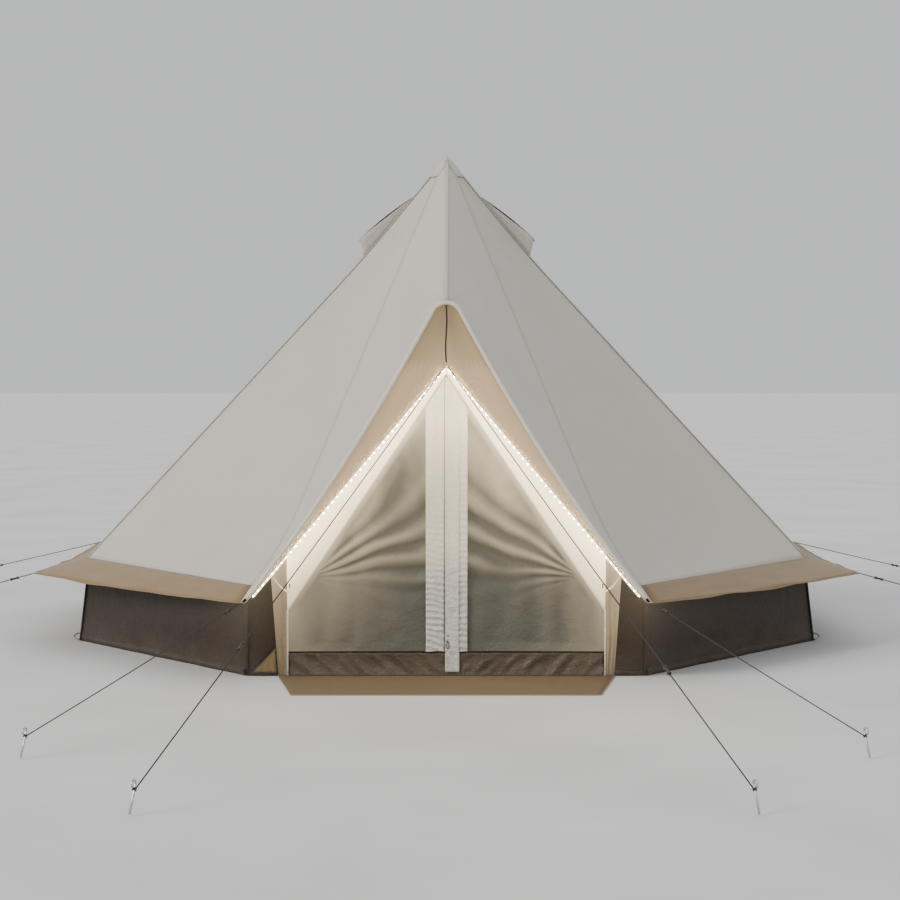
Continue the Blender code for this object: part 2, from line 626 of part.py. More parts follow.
def make_vents():
    """Each vent's mesh under its opening, and its hood, hinged along the top."""
    rows = (VENT_ROW / ROWS, (VENT_ROW + 1) / ROWS)
    corners = []
    for share, column in ((rows[0], 0), (rows[1], 0), (rows[1], 1), (rows[0], 1)):
        spread = VENT_MESH_SHARES[int(column)]
        corners.append(hip(CORNER_AZIMUTHS[0], share).lerp(hip(CORNER_AZIMUTHS[1], share), spread))
    drop = Vector((0.0, 0.0, -ROOF_CLOTH - 2 * GAP))
    top_share = VENT_TOP_X / math.cos(math.radians(HALF_SIDE)) / SEAM_RADIUS
    top_z = hip(CORNER_AZIMUTHS[0], top_share).z + 4 * GAP
    tip_x, tip_z = VENT_TIP
    hood = [
        Vector((VENT_TOP_X, -VENT_TOP_HALF_WIDTH, top_z)),
        Vector((tip_x, -VENT_TIP_HALF_WIDTH, tip_z)),
        Vector((tip_x, VENT_TIP_HALF_WIDTH, tip_z)),
        Vector((VENT_TOP_X, VENT_TOP_HALF_WIDTH, top_z)),
    ]
    hinge = Vector((VENT_TOP_X, 0.0, top_z))
    up = Vector((0.0, 0.0, CLOTH))
    for side, end in ((Vector, "right"), (mirrored, "left")):
        mesh = [side(corner + drop) for corner in corners]
        sheet(f"vent_mesh_{end}", [mesh], (0.0, 0.0, -CLOTH), "vent_mesh")
        sheet(f"vent_hood_{end}", [[side(p) for p in hood]], up, "roof_cloth", side(hinge))


def make_line_ring():
    """The steel ring at the top of the doorway and the strap that carries it."""
    bm = bmesh.new()
    steps, sides = 16, 8
    rings = []
    for step in range(steps):
        angle = math.tau * step / steps
        outward = Vector((math.cos(angle), 0.0, math.sin(angle)))
        ring = []
        for side in range(sides):
            turn = math.tau * side / sides
            reach = RING_RADIUS + RING_WIRE * math.cos(turn)
            place = RING_CENTRE + outward * reach + Vector((0.0, RING_WIRE * math.sin(turn), 0.0))
            ring.append(bm.verts.new(place))
        rings.append(ring)
    join_rings(bm, rings)
    finish_mesh("line_ring", bm, "steel", smooth_angle=60)
    top = hood_edge(-TRIM_RADIUS - 6 * GAP)[0] - Vector((0.0, STRAP_THICKNESS, 0.0))
    bottom = RING_CENTRE + Vector((0.0, 0.0, RING_RADIUS + RING_WIRE + 2 * GAP))
    across = Vector((STRAP_WIDTH, 0.0, 0.0))
    through = Vector((0.0, STRAP_THICKNESS, 0.0))
    bar("peak_strap", top, bottom, across, through, "webbing")


def join_rings(bm, rings):
    """Join each ring of vertices to the next, and the last to the first."""
    for index, ring in enumerate(rings):
        before = rings[index - 1]
        for side in range(len(ring)):
            bm.faces.new([before[side - 1], before[side], ring[side], ring[side - 1]])


def rope_point(start, end, share):
    """A point on a taut rope that sags a little under its own weight."""
    sag = ROPE_SAG * (end - start).length
    return start.lerp(end, share) - Vector((0.0, 0.0, 4 * sag * share * (1 - share)))


def line_start(name, side):
    """Where a guy line leaves the tent."""
    if name.startswith("door"):
        sideways, forward, down = RING_LINE_OFFSET
        return RING_CENTRE + Vector((side * sideways, forward, down))
    corner = eave_tip(side * LINE_CORNERS[name.rpartition("_")[0]])
    outward = Vector((corner.x, corner.y, 0.0)).normalized()
    return corner + outward * (ROPE_RADIUS + 2 * GAP) - Vector((0.0, 0.0, ROOF_CLOTH / 2))


def make_guy_line(name, stake_x, stake_y, slider_share, count):
    """One rope with its slider and its stake."""
    start = line_start(name, math.copysign(1.0, stake_x))
    ground = Vector((stake_x, stake_y, 0.0))
    outward = Vector((ground.x - start.x, ground.y - start.y, 0.0)).normalized()
    foot = ground + outward * STAKE_LEAN * STAKE_FOOT_SHARE
    head = ground - outward * STAKE_LEAN * (1 - STAKE_FOOT_SHARE)
    foot.z = STAKE_RADIUS
    head.z = STAKE_HEIGHT
    share = (STAKE_HOLD_HEIGHT - foot.z) / (head.z - foot.z)
    end = foot.lerp(head, share) - outward * (STAKE_RADIUS + ROPE_RADIUS + 2 * GAP)
    points = [rope_point(start, end, step / (count - 1)) for step in range(count)]
    tube(f"rope_{name}", points, ROPE_RADIUS, "rope")
    up = Vector((0.0, 0.0, 1.0))
    hook = [foot, head, *(head + outward * out + up * rise for out, rise in STAKE_HOOK)]
    tube(f"stake_{name}", hook, STAKE_RADIUS, "steel")
    make_slider(f"slider_{name}", start, end, slider_share)


def make_slider(name, start, end, share):
    """The tensioner: a short thick sleeve round the rope, with its origin on the rope."""
    centre = rope_point(start, end, share)
    along = (rope_point(start, end, share + 0.01) - rope_point(start, end, share - 0.01)).normalized()
    across = along.cross(Vector((0.0, 0.0, 1.0))).normalized()
    upward = across.cross(along)
    half = along * SLIDER_LENGTH / 2
    profile = (
        (SLIDER_BORE, -1.0),
        (SLIDER_RADIUS, -1.0),
        (SLIDER_RADIUS, 1.0),
        (SLIDER_BORE, 1.0),
    )
    sides = 10
    rings = []
    bm = bmesh.new()
    for side in range(sides):
        turn = math.tau * side / sides
        outward = across * math.cos(turn) + upward * math.sin(turn)
        rings.append([bm.verts.new(centre + outward * r + half * place) for r, place in profile])
    join_rings(bm, rings)
    finish_mesh(name, bm, "plastic", centre, smooth_angle=50)


def main():
    """Build the whole tent."""
    for existing in list(bpy.data.objects):
        bpy.data.objects.remove(existing, do_unlink=True)
    make_floor()
    make_walls()
    make_front_wall()
    make_door()
    make_port_flap()
    make_canopy()
    make_eave_band()
    make_peak_cap()
    make_hood()
    make_lights()
    make_frame()
    make_vents()
    make_line_ring()
    for name, settings in GUY_LINES.items():
        make_guy_line(name, *settings)


main()
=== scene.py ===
"""A lit octagonal bell tent, dressed cloth by cloth and line by line over its measured frame.

Metres, +Z up. The centre pole stands on the origin, and the doorway faces -Y.
Azimuths are in degrees, from the doorway's direction towards +X.
"""

import logging
import math
from collections.abc import Callable, Sequence
from dataclasses import dataclass
from enum import Enum

import bmesh
import bpy
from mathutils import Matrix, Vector, noise


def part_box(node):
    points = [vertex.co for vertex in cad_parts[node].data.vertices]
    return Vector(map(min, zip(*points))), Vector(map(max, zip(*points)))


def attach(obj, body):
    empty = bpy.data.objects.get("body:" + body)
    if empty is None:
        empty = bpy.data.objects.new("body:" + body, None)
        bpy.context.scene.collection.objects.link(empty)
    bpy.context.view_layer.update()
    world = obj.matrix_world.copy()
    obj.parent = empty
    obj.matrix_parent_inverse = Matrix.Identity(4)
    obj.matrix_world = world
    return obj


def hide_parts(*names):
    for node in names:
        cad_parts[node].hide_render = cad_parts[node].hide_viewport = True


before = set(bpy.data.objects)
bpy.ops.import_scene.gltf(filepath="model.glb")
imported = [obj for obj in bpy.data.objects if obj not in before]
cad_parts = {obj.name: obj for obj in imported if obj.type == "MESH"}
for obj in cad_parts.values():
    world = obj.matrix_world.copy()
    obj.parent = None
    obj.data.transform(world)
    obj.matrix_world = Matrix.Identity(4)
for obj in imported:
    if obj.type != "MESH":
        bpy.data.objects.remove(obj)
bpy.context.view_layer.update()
LOG = logging.getLogger("bell_tent")

Colour = tuple[float, float, float]
Points = list[Vector]
Grid = list[Points]


# ---------------------------------------------------------------- the tent's shape


@dataclass(frozen=True)
class TentShape:
    """The sizes that the cloths share, as the frame has them."""

    peak: float = 2.70
    shoulder: tuple[float, float] = (0.478, 2.139)
    seam: tuple[float, float] = (2.10, 0.447)
    tip: tuple[float, float] = (2.389, 0.375)
    front_hip: float = 23.6
    flare: tuple[float, float] = (1.95, 0.625)
    front_seam: tuple[float, float] = (2.277, 0.445)
    corners: tuple[float, float, float] = (67.5, 112.5, 157.5)
    across_flats: float = 3.96
    front_base: tuple[float, float] = (0.955, -1.96)
    hood_reach: float = 2.16
    hood_top: float = 1.765
    hood_radius: float = 0.071
    hood_turn: float = 61.0
    hood_bend: tuple[float, float] = (0.512, 0.896)
    hood_end: tuple[float, float, float] = (0.945, -2.185, 0.372)
    wall_top: tuple[float, float, float] = (0.0, -1.985, 1.475)
    wall_tip: tuple[float, float, float] = (0.93, -2.15, 0.372)
    panel_split: float = 0.88
    panel_foot: tuple[float, float, float] = (0.80, -1.972, 0.0)
    door_plane: float = -1.98
    doorway_half: float = 0.755
    doorway_kink: float = 0.315
    doorway_top: float = 1.44

    def hips(self) -> tuple[float, ...]:
        """Return the azimuths of the eight hips, from the right front one round the back."""
        right = (self.front_hip, *self.corners)
        return (*right, *(-azimuth for azimuth in reversed(right)))

    def hip(self, azimuth: float, share: float) -> Vector:
        """Find a point on a roof hip.

        Args:
            azimuth: The hip's direction in degrees.
            share: 0 at the peak and 1 at the eave seam.

        Returns:
            The point on the outside of the cloth.
        """
        front = abs(abs(azimuth) - self.front_hip) < 1e-6
        bend = self.flare if front else self.shoulder
        end = self.front_seam if front else self.seam
        radius = share * end[0]
        upper = self.peak + (bend[1] - self.peak) * radius / bend[0]
        lower = bend[1] + (end[1] - bend[1]) * (radius - bend[0]) / (end[0] - bend[0])
        height = upper if radius < bend[0] else lower
        soft = 0.16 if not front else 0.22
        gap = abs(radius - bend[0])
        if gap < soft:
            turn = (end[1] - bend[1]) / (end[0] - bend[0]) - (bend[1] - self.peak) / bend[0]
            height += turn * (soft - gap) ** 2 / (4.0 * soft)
        return polar(radius, azimuth, height)

    def eave_tip(self, azimuth: float) -> Vector:
        """Return the pulled-out corner of the eave on one hip."""
        return polar(self.tip[0], azimuth, self.tip[1])

    def base(self, azimuth: float) -> Vector:
        """Return a corner of the floor plan."""
        if abs(abs(azimuth) - self.front_hip) < 1e-6:
            return Vector((math.copysign(self.front_base[0], azimuth), self.front_base[1], 0.0))
        return polar(self.across_flats / 2 / math.cos(math.radians(22.5)), azimuth, 0.0)

    def wall_head(self, azimuth: float) -> Vector:
        """Return the top of a wall corner, under the eave."""
        if abs(abs(azimuth) - self.front_hip) < 1e-6:
            tip = Vector(self.wall_tip)
            return tip if azimuth > 0 else mirrored(tip)
        return polar(self.seam[0] - 0.01, azimuth, self.seam[1] - 0.0055)

    def wall_line(self, share: float) -> Vector:
        """Return a point on the front wall's right top edge, from its top to the eave corner."""
        return Vector(self.wall_top).lerp(Vector(self.wall_tip), share)

    def hood_edge(self, offset: float, arc_steps: int = 18, edge_steps: int = 48) -> Points:
        """Trace the right half of the hood's edge.

        Args:
            offset: How far the line is moved outwards.
            arc_steps: Steps round the rounded top.
            edge_steps: Steps down the curved side.

        Returns:
            The points from the top to the eave corner.
        """
        turn = math.radians(self.hood_turn)
        centre = Vector((0.0, self.hood_top - self.hood_radius))
        flat = []
        for step in range(arc_steps):
            angle = turn * step / arc_steps
            outward = Vector((math.sin(angle), math.cos(angle)))
            flat.append((centre + outward * self.hood_radius, outward))
        start = centre + Vector((math.sin(turn), math.cos(turn))) * self.hood_radius
        bend = Vector(self.hood_bend)
        last = Vector((self.hood_end[0], self.hood_end[2]))
        for step in range(edge_steps + 1):
            t = step / edge_steps
            place = start * (1 - t) ** 2 + bend * 2 * t * (1 - t) + last * t**2
            along = ((bend - start) * (1 - t) + (last - bend) * t).normalized()
            flat.append((place, Vector((-along.y, along.x))))
        fall = (self.hood_end[1] + self.hood_reach) / (self.hood_top - self.hood_end[2])
        points = []
        for place, outward in flat:
            moved = place + outward * offset
            depth = -self.hood_reach + fall * (self.hood_top - place.y)
            points.append(Vector((moved.x, depth, moved.y)))
        return points

    def leaf_top(self, x: float) -> float:
        """Return the height of a door leaf's slanted edge at a distance from the middle."""
        rise = self.doorway_top - self.doorway_kink
        slope = rise / self.doorway_half
        length = math.hypot(self.doorway_half, rise)
        return self.doorway_top - 0.006 * length / self.doorway_half - abs(x) * slope


def polar(radius: float, azimuth: float, height: float) -> Vector:
    """Return the point at a distance from the pole, an azimuth and a height."""
    angle = math.radians(azimuth)
    return Vector((radius * math.sin(angle), -radius * math.cos(angle), height))


def mirrored(point: Vector) -> Vector:
    """Return the same point on the tent's left side."""
    return Vector((-point[0], point[1], point[2]))


def ripple(place: Vector, scale: float, seed: float) -> float:
    """Return smooth noise from -1 to 1.

    Args:
        place: Where it is read.
        scale: How many ripples there are in a metre.
        seed: Moves the pattern, so that cloths differ.

    Returns:
        The noise at that place.
    """
    return noise.noise(Vector(place) * scale + Vector((seed, seed * 1.7, -seed)))


SHAPE = TentShape()


# ---------------------------------------------------------------- finishes


class Weave(Enum):
    """How a cloth's yarns lie, as (yarns in a metre, depth of the relief)."""

    CANVAS = (520.0, 0.00035)
    OXFORD = (420.0, 0.0003)
    TAFFETA = (900.0, 0.00012)
    WEBBING = (300.0, 0.0006)


def effect_group(
    name: str,
    inputs: Sequence[tuple[str, str, float]],
    output: str,
    fill: Callable[[bpy.types.NodeTree, bpy.types.Node, bpy.types.Node], None],
) -> bpy.types.NodeTree:
    """Make a shader node group once.

    Args:
        name: The group's name.
        inputs: Each input's name, socket type and starting value.
        output: The name of its one value output.
        fill: Adds the nodes between its input and output nodes.

    Returns:
        The group's tree.
    """
    if name in bpy.data.node_groups:
        return bpy.data.node_groups[name]
    tree = bpy.data.node_groups.new(name, "ShaderNodeTree")
    for label, kind, value in inputs:
        socket = tree.interface.new_socket(name=label, in_out="INPUT", socket_type=kind)
        if kind == "NodeSocketFloat":
            socket.default_value = value
    tree.interface.new_socket(name=output, in_out="OUTPUT", socket_type="NodeSocketFloat")
    start = tree.nodes.new("NodeGroupInput")
    end = tree.nodes.new("NodeGroupOutput")
    fill(tree, start, end)
    return tree


def math_node(
    tree: bpy.types.NodeTree, operation: str, first: object, second: object = 0.0
) -> bpy.types.NodeSocket:
    """Add a Math node.

    Args:
        tree: The tree that it goes into.
        operation: The node's operation.
        first: A socket or a number.
        second: A socket or a number.

    Returns:
        The node's output.
    """
    node = tree.nodes.new("ShaderNodeMath")
    node.operation = operation
    for socket, value in zip(node.inputs, (first, second)):
        if isinstance(value, bpy.types.NodeSocket):
            tree.links.new(value, socket)
        else:
            socket.default_value = value
    return node.outputs[0]


def fill_weave(tree: bpy.types.NodeTree, start: bpy.types.Node, end: bpy.types.Node) -> None:
    """Lay yarns over and under each other, as a height from 0 to 1."""
    split = tree.nodes.new("ShaderNodeSeparateXYZ")
    tree.links.new(start.outputs["Place"], split.inputs[0])
    waves = []
    for axis in (0, 1):
        turned = math_node(tree, "MULTIPLY", split.outputs[axis], start.outputs["Yarns"])
        waves.append(math_node(tree, "SINE", math_node(tree, "MULTIPLY", turned, math.tau)))
    over = math_node(tree, "MULTIPLY", waves[0], waves[1])
    lifted = math_node(tree, "ADD", math_node(tree, "MULTIPLY", over, 0.5), 0.5)
    tree.links.new(lifted, end.inputs[0])


def fill_crinkle(tree: bpy.types.NodeTree, start: bpy.types.Node, end: bpy.types.Node) -> None:
    """Sum broad slack and fine creases, as a height from 0 to 1."""
    broad = tree.nodes.new("ShaderNodeTexNoise")
    fine = tree.nodes.new("ShaderNodeTexNoise")
    for node, detail, times in ((broad, 4.0, 1.0), (fine, 6.0, 5.5)):
        tree.links.new(start.outputs["Place"], node.inputs["Vector"])
        scale = math_node(tree, "MULTIPLY", start.outputs["Scale"], times)
        tree.links.new(scale, node.inputs["Scale"])
        node.inputs["Detail"].default_value = detail
        node.inputs["Distortion"].default_value = 0.4
    crease = math_node(tree, "ABSOLUTE", math_node(tree, "SUBTRACT", fine.outputs[0], 0.5))
    total = math_node(tree, "ADD", broad.outputs[0], math_node(tree, "MULTIPLY", crease, 0.6))
    tree.links.new(total, end.inputs[0])


def fill_dust(tree: bpy.types.NodeTree, start: bpy.types.Node, end: bpy.types.Node) -> None:
    """Gather dust near the ground, broken up by noise, as a mask from 0 to 1."""
    split = tree.nodes.new("ShaderNodeSeparateXYZ")
    tree.links.new(start.outputs["Place"], split.inputs[0])
    blot = tree.nodes.new("ShaderNodeTexNoise")
    tree.links.new(start.outputs["Place"], blot.inputs["Vector"])
    blot.inputs["Scale"].default_value = 9.0
    blot.inputs["Detail"].default_value = 8.0
    high = math_node(tree, "DIVIDE", split.outputs[2], start.outputs["Reach"])
    low = math_node(tree, "SUBTRACT", 1.0, high)
    mixed = math_node(tree, "ADD", low, math_node(tree, "SUBTRACT", blot.outputs[0], 0.6))
    node = tree.nodes.new("ShaderNodeClamp")
    tree.links.new(mixed, node.inputs[0])
    tree.links.new(node.outputs[0], end.inputs[0])


def add_group(
    tree: bpy.types.NodeTree, group: bpy.types.NodeTree, place: bpy.types.NodeSocket, value: float
) -> bpy.types.NodeSocket:
    """Place an effect group in a material.

    Args:
        tree: The material's tree.
        group: The effect.
        place: The coordinates that it reads.
        value: Its second input.

    Returns:
        The effect's output.
    """
    node = tree.nodes.new("ShaderNodeGroup")
    node.node_tree = group
    tree.links.new(place, node.inputs[0])
    node.inputs[1].default_value = value
    return node.outputs[0]


def weave_group() -> bpy.types.NodeTree:
    """Return the woven relief."""
    sockets = (("Place", "NodeSocketVector", 0.0), ("Yarns", "NodeSocketFloat", 500.0))
    return effect_group("woven_relief", sockets, "Height", fill_weave)


def crinkle_group() -> bpy.types.NodeTree:
    """Return the slack and crease relief."""
    sockets = (("Place", "NodeSocketVector", 0.0), ("Scale", "NodeSocketFloat", 4.0))
    return effect_group("cloth_crinkle", sockets, "Height", fill_crinkle)


def dust_group() -> bpy.types.NodeTree:
    """Return the dust mask."""
    sockets = (("Place", "NodeSocketVector", 0.0), ("Reach", "NodeSocketFloat", 0.2))
    return effect_group("ground_dust", sockets, "Mask", fill_dust)


def mix_colours(
    tree: bpy.types.NodeTree, mask: bpy.types.NodeSocket, first: object, second: object
) -> bpy.types.NodeSocket:
    """Mix two colours by a mask.

    Args:
        tree: The material's tree.
        mask: 0 gives the first colour and 1 the second.
        first: A colour or a socket.
        second: A colour or a socket.

    Returns:
        The mixed colour.
    """
    node = tree.nodes.new("ShaderNodeMix")
    node.data_type = "RGBA"
    tree.links.new(mask, node.inputs["Factor"])
    for socket, value in ((node.inputs[6], first), (node.inputs[7], second)):
        if isinstance(value, bpy.types.NodeSocket):
            tree.links.new(value, socket)
        else:
            socket.default_value = (*value, 1.0)
    return node.outputs[2]


@dataclass(frozen=True)
class Cloth:
    """A woven cloth's finish."""

    name: str
    colour: Colour
    shade: Colour
    weave: Weave = Weave.CANVAS
    roughness: float = 0.85
    crinkle: float = 0.006
    crinkle_scale: float = 4.0
    sheen: float = 0.25
    dust: float = 0.0
    # Strength of the painted light that the light strips cast on the cloth, given as emission; 0 paints
    # none.
    glow: float = 0.0

    def build(self) -> bpy.types.Material:
        """Make the material once.

        Returns:
            The cloth's material.
        """
        if self.name in bpy.data.materials:
            return bpy.data.materials[self.name]
        made = bpy.data.materials.new(self.name)
        made.use_nodes = True
        tree = made.node_tree
        shader = tree.nodes["Principled BSDF"]
        where = tree.nodes.new("ShaderNodeTexCoord")
        place, laid = where.outputs["Object"], where.outputs["UV"]
        blot = tree.nodes.new("ShaderNodeTexNoise")
        tree.links.new(place, blot.inputs["Vector"])
        blot.inputs["Scale"].default_value = 2.2
        blot.inputs["Detail"].default_value = 7.0
        blot.inputs["Roughness"].default_value = 0.62
        colour = mix_colours(tree, blot.outputs[0], self.colour, self.shade)
        height = add_group(tree, weave_group(), laid, self.weave.value[0])
        yarn = math_node(tree, "MULTIPLY", height, 0.16)
        dark = tuple(c * 0.72 for c in self.shade)
        colour = mix_colours(tree, yarn, colour, dark)
        if self.dust:
            mask = add_group(tree, dust_group(), place, 0.16)
            mask = math_node(tree, "MULTIPLY", mask, self.dust)
            colour = mix_colours(tree, mask, colour, (0.36, 0.31, 0.25))
        tree.links.new(colour, shader.inputs["Base Color"])
        rough = math_node(tree, "MULTIPLY", height, 0.1)
        rough = math_node(tree, "ADD", rough, self.roughness - 0.05)
        tree.links.new(rough, shader.inputs["Roughness"])
        shader.inputs["Sheen Weight"].default_value = self.sheen
        shader.inputs["Sheen Roughness"].default_value = 0.5
        slack = add_group(tree, crinkle_group(), place, self.crinkle_scale)
        yarns = math_node(tree, "MULTIPLY", height, self.weave.value[1])
        relief = math_node(tree, "ADD", math_node(tree, "MULTIPLY", slack, self.crinkle), yarns)
        bump = tree.nodes.new("ShaderNodeBump")
        bump.inputs["Distance"].default_value = 1.0
        bump.inputs["Strength"].default_value = 1.0
        tree.links.new(relief, bump.inputs["Height"])
        tree.links.new(bump.outputs[0], shader.inputs["Normal"])
        # Painted light: emission in a warm colour, as strong as the light strips' painted reach at each
        # point.
        if self.glow:
            lit = tree.nodes.new("ShaderNodeAttribute")
            lit.attribute_name = "glow"
            warm = mix_colours(tree, lit.outputs["Fac"], (0.0, 0.0, 0.0), (1.0, 0.80, 0.50))
            tree.links.new(warm, shader.inputs["Emission Color"])
            shader.inputs["Emission Strength"].default_value = self.glow
        return made


@dataclass(frozen=True)
class Solid:
    """A finish of metal, plastic or cord."""

    name: str
    colour: Colour
    roughness: float
    metallic: float = 0.0
    grain: float = 0.0006
    grain_scale: float = 160.0
    braid: float = 0.0
    emission: float = 0.0

    def build(self) -> bpy.types.Material:
        """Make the material once.

        Returns:
            The finish's material.
        """
        if self.name in bpy.data.materials:
            return bpy.data.materials[self.name]
        made = bpy.data.materials.new(self.name)
        made.use_nodes = True
        tree = made.node_tree
        shader = tree.nodes["Principled BSDF"]
        where = tree.nodes.new("ShaderNodeTexCoord")
        fleck = tree.nodes.new("ShaderNodeTexNoise")
        tree.links.new(where.outputs["Object"], fleck.inputs["Vector"])
        fleck.inputs["Scale"].default_value = self.grain_scale
        fleck.inputs["Detail"].default_value = 5.0
        darker = tuple(c * 0.7 for c in self.colour)
        colour = mix_colours(tree, fleck.outputs[0], self.colour, darker)
        height = math_node(tree, "MULTIPLY", fleck.outputs[0], self.grain)
        if self.braid:
            strands = add_group(tree, weave_group(), where.outputs["UV"], self.braid)
            colour = mix_colours(tree, strands, darker, self.colour)
            height = math_node(tree, "ADD", height, math_node(tree, "MULTIPLY", strands, 0.0008))
        tree.links.new(colour, shader.inputs["Base Color"])
        rough = math_node(tree, "MULTIPLY", fleck.outputs[0], 0.2)
        rough = math_node(tree, "ADD", rough, self.roughness - 0.1)
        tree.links.new(rough, shader.inputs["Roughness"])
        shader.inputs["Metallic"].default_value = self.metallic
        bump = tree.nodes.new("ShaderNodeBump")
        bump.inputs["Distance"].default_value = 1.0
        tree.links.new(height, bump.inputs["Height"])
        tree.links.new(bump.outputs[0], shader.inputs["Normal"])
        if self.emission:
            shader.inputs["Emission Color"].default_value = (1.0, 0.86, 0.62, 1.0)
            shader.inputs["Emission Strength"].default_value = self.emission
        return made


# The emission strengths below are painted light from the light strips, not light that the cloths give off.
ROOF = Cloth("roof_canvas", (0.66, 0.62, 0.54), (0.57, 0.53, 0.46), crinkle=0.010, sheen=0.15)
TAPE = Cloth("seam_tape", (0.62, 0.57, 0.48), (0.52, 0.47, 0.39), crinkle=0.003)
BAND = Cloth("eave_canvas", (0.31, 0.20, 0.088), (0.235, 0.15, 0.064), Weave.OXFORD, crinkle=0.010)
WALL = Cloth(
    "wall_oxford", (0.034, 0.018, 0.006), (0.020, 0.011, 0.004), Weave.OXFORD, 0.62,
    crinkle=0.014, crinkle_scale=5.0, sheen=0.0, dust=0.10, glow=0.10,
)
CREAM = Cloth(
    "front_cream", (0.76, 0.66, 0.48), (0.66, 0.56, 0.39), crinkle=0.010, glow=3.6, dust=0.1
)
SIDE_TAN = Cloth(
    "side_tan", (0.30, 0.215, 0.115), (0.20, 0.14, 0.07), Weave.TAFFETA, 0.6,
    crinkle=0.014, crinkle_scale=8.0, glow=0.75, dust=0.15,
)
GUSSET = Cloth("hood_brown", (0.31, 0.195, 0.085), (0.22, 0.135, 0.06), Weave.OXFORD, glow=0.42)
DOOR = Cloth(
    "door_taffeta", (0.115, 0.111, 0.083), (0.070, 0.069, 0.052), Weave.TAFFETA, 0.45,
    crinkle=0.012, crinkle_scale=7.0, sheen=0.25, glow=1.5,
)
STRIP = Cloth(
    "zip_strip", (0.80, 0.775, 0.69), (0.68, 0.65, 0.56), Weave.TAFFETA, 0.6,
    crinkle=0.030, crinkle_scale=14.0, glow=1.9,
)
SILL = Cloth(
    "sill_vinyl", (0.085, 0.052, 0.027), (0.048, 0.030, 0.016), Weave.TAFFETA, 0.28,
    crinkle=0.012, crinkle_scale=9.0, sheen=0.0, dust=0.3,
)
MAT = Cloth("mat_oxford", (0.19, 0.13, 0.066), (0.145, 0.10, 0.05), Weave.OXFORD, sheen=0.0, dust=0.05)
FLOOR = Cloth("floor_tarp", (0.10, 0.085, 0.07), (0.07, 0.06, 0.05), Weave.OXFORD, 0.5)
NET = Cloth("vent_net", (0.05, 0.05, 0.05), (0.02, 0.02, 0.02), Weave.WEBBING, 0.8)
WEB = Cloth("black_webbing", (0.022, 0.022, 0.022), (0.012, 0.012, 0.012), Weave.WEBBING, 0.7)
THREAD = Solid("sewing_thread", (0.62, 0.57, 0.47), 0.75)
PALE_THREAD = Solid("pale_thread", (0.78, 0.74, 0.64), 0.75)
PIPING = Cloth("hood_piping", (0.80, 0.76, 0.66), (0.70, 0.66, 0.56), crinkle=0.002, glow=0.12)
CORD = Solid("guy_cord", (0.030, 0.030, 0.032), 0.75, braid=220.0)
BLACK_PLASTIC = Solid("black_plastic", (0.022, 0.022, 0.024), 0.42)
STEEL = Solid("bright_steel", (0.60, 0.61, 0.63), 0.32, 1.0, grain=0.0001)
POLE_STEEL = Solid("pole_steel", (0.52, 0.53, 0.55), 0.38, 1.0, grain=0.0001, grain_scale=60.0)
DIODE = Solid("led_dome", (1.0, 0.93, 0.80), 0.3, emission=150.0)
LED_TAPE = Solid("led_tape", (0.90, 0.84, 0.70), 0.35, emission=3.0)


# ---------------------------------------------------------------- making meshes


def new_object(name: str, bm: bmesh.types.BMesh, finish: Cloth | Solid) -> bpy.types.Object:
    """Turn a bmesh in world coordinates into a smooth object at the origin.

    Args:
        name: The piece's name.
        bm: The shape, which is freed.
        finish: What it is made of.

    Returns:
        The new object.
    """
    mesh = bpy.data.meshes.new(name)
    bm.to_mesh(mesh)
    bm.free()
    mesh.shade_smooth()
    made = bpy.data.objects.new(name, mesh)
    made.data.materials.append(finish.build())
    bpy.context.collection.objects.link(made)
    return made


# Sizes of the painted light from the light strips: its fade, the painted glow round the doorway's apex, the
# painted brighter upper doorway and the painted shade in the leaves' fold hollows.
LIGHT_FADE = 0.16
APEX_RISE, APEX_SPREAD = 0.36, 0.30
LIT_FROM, LIT_OVER = 0.42, 0.20
LEAF_DEPTH, HOLLOW_DEPTH = 0.010, 0.016


def light_reach(place: Vector) -> float:
    """Return how strongly the light strips reach a point, from 0 to 1, as painted light, with painted shade
    in the door leaves' fold hollows.
    """
    top, tip = Vector(SHAPE.wall_top), Vector(SHAPE.wall_tip)
    point = Vector((abs(place.x), place.y, place.z))
    along = tip - top
    share = min(1.0, max(0.0, (point - top).dot(along) / along.length_squared))
    gap = (point - top - along * share).length
    # Painted light along the light strips and round the doorway's apex.
    apex = math.exp(-((top.z - place.z) / APEX_RISE) ** 2) * math.exp(-abs(place.x) / APEX_SPREAD)
    reach = 0.85 * math.exp(-gap / LIGHT_FADE) + 0.50 * apex
    if abs(place.x) < SHAPE.doorway_half and place.z < top.z:
        # Painted light: the doorway's cloth is painted brighter from LIT_FROM upwards.
        reach += 0.11 * min(1.0, max(0.0, (place.z - LIT_FROM) / LIT_OVER))
        # Painted shade: cloth set back in a leaf's fold hollow gets less painted light, cloth standing
        # forward gets more.
        hollow = place.y - SHAPE.door_plane - LEAF_DEPTH
        reach *= min(1.35, max(0.30, 1.0 - hollow / HOLLOW_DEPTH))
    return min(1.0, reach)


